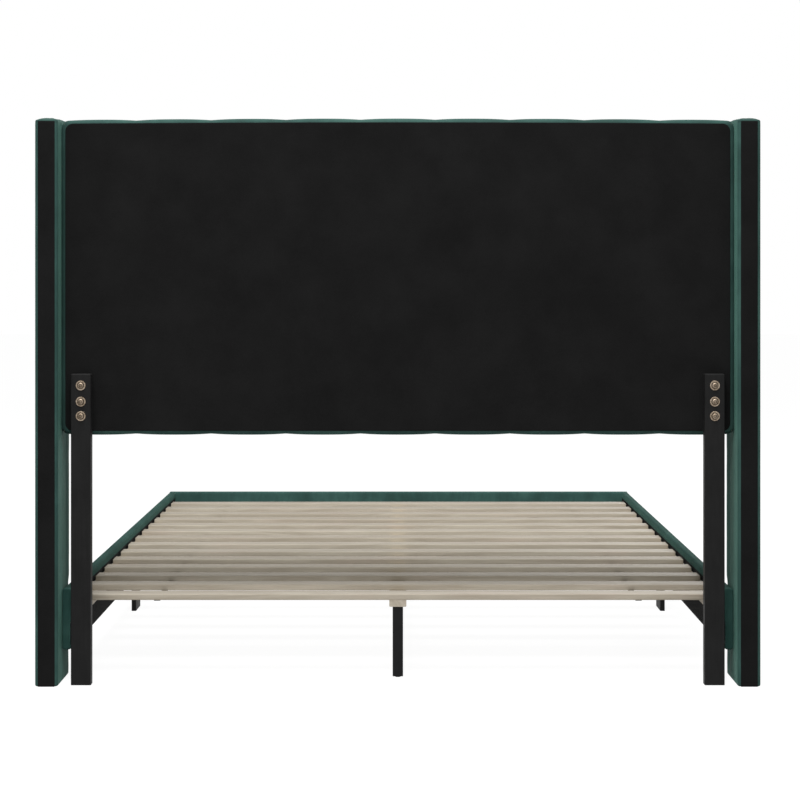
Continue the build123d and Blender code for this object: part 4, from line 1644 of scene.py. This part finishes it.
@dataclass
class Studio:
    """White studio with soft light and the photograph's camera."""

    camera_place: Place = (-0.0052, 5.5205, 0.9435)
    lens: float = 85.18
    shift_y: float = -0.145
    sensor: float = 36.0
    floor_size: float = 60.0
    floor_grey: float = 0.5
    ambient: float = 0.42
    glow: float = 0.935
    shadow_share: float = 0.13
    lamps: tuple[Lamp, ...] = (
        Lamp("key_lamp", (0.4, 3.1, 5.4), (0.0, 0.0, 0.3), 2.6, 340.0),
        Lamp("foot_lamp", (-2.4, -4.6, 2.6), (0.0, 0.0, 0.5), 3.0, 70.0),
    )

    def camera(self) -> None:
        """Sets the camera level behind the headboard, looking along the bed."""
        data = bpy.data.cameras.new("camera")
        data.lens = self.lens
        data.sensor_width = self.sensor
        data.shift_y = self.shift_y
        camera = placed("camera", data)
        camera.location = self.camera_place
        camera.rotation_euler = (math.pi / 2, 0.0, math.pi)
        bpy.context.scene.camera = camera

    def split(self, tree: Tree, lit: bpy.types.Node, seen: bpy.types.Node, output: str) -> None:
        """Ends a tree with one shader for camera, mirror and glass rays and another for all others.

        Args:
            tree: tree of the world or of a material.
            lit: shader that lights the bed.
            seen: shader that the picture shows.
            output: type of the tree's output node.
        """
        path = tree.node("ShaderNodeLightPath").outputs
        share = path["Is Camera Ray"]
        for name in ("Is Glossy Ray", "Is Transmission Ray"):
            share = tree.calculate("MAXIMUM", share, path[name])
        mix = tree.node("ShaderNodeMixShader", {"Fac": share, 1: lit.outputs[0], 2: seen.outputs[0]})
        tree.node(output, {"Surface": mix.outputs[0]})

    def world(self) -> None:
        """Fills the studio with even light that the camera sees as white."""
        world = bpy.data.worlds.new("studio")
        world.use_nodes = True
        tree = Tree(world.node_tree)
        white = (1.0, 1.0, 1.0, 1.0)
        lit, seen = (tree.node("ShaderNodeBackground", {"Color": white, "Strength": strength})
                     for strength in (self.ambient, 1.0))
        self.split(tree, lit, seen, "ShaderNodeOutputWorld")
        bpy.context.scene.world = world

    def floor(self) -> None:
        """Lays a pale floor that reads as white and keeps the bed's soft shadow."""
        half = self.floor_size / 2
        mesh = bpy.data.meshes.new("studio_floor")
        mesh.from_pydata([(-half, -half, 0.0), (half, -half, 0.0), (half, half, 0.0), (-half, half, 0.0)],
                         [], [(0, 1, 2, 3)])
        floor = placed("studio_floor", mesh)
        recipe = Recipe("studio_floor")
        glow = recipe.node("ShaderNodeEmission", {"Strength": self.glow})
        lit, shadow = (recipe.node("ShaderNodeBsdfDiffuse", {"Color": (grey, grey, grey, 1.0)})
                       for grey in (self.floor_grey, self.shadow_share))
        seen = recipe.node("ShaderNodeAddShader", {0: glow.outputs[0], 1: shadow.outputs[0]})
        self.split(recipe, lit, seen, "ShaderNodeOutputMaterial")
        mesh.materials.append(recipe.material)

    def build(self) -> None:
        """Sets up camera, world, floor and lamps."""
        self.camera()
        self.world()
        self.floor()
        for lamp in self.lamps:
            lamp.hang()
        bpy.context.scene.view_settings.view_transform = "Standard"


def main() -> None:
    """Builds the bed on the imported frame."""
    logging.basicConfig(level=logging.INFO, format="%(message)s")
    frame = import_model()
    Studio().build()
    shop = Workshop()
    shop.stock()
    shop.dress(frame)
    parts = (Headboard(shop), *(Wing(shop, side) for side in Side), WingStrips(shop), Rails(shop),
             SlatDeck(shop), Hardware(shop))
    for part in parts:
        LOG.info("%s", type(part).__name__)
        part.build()


if __name__ == "__main__":
    main()
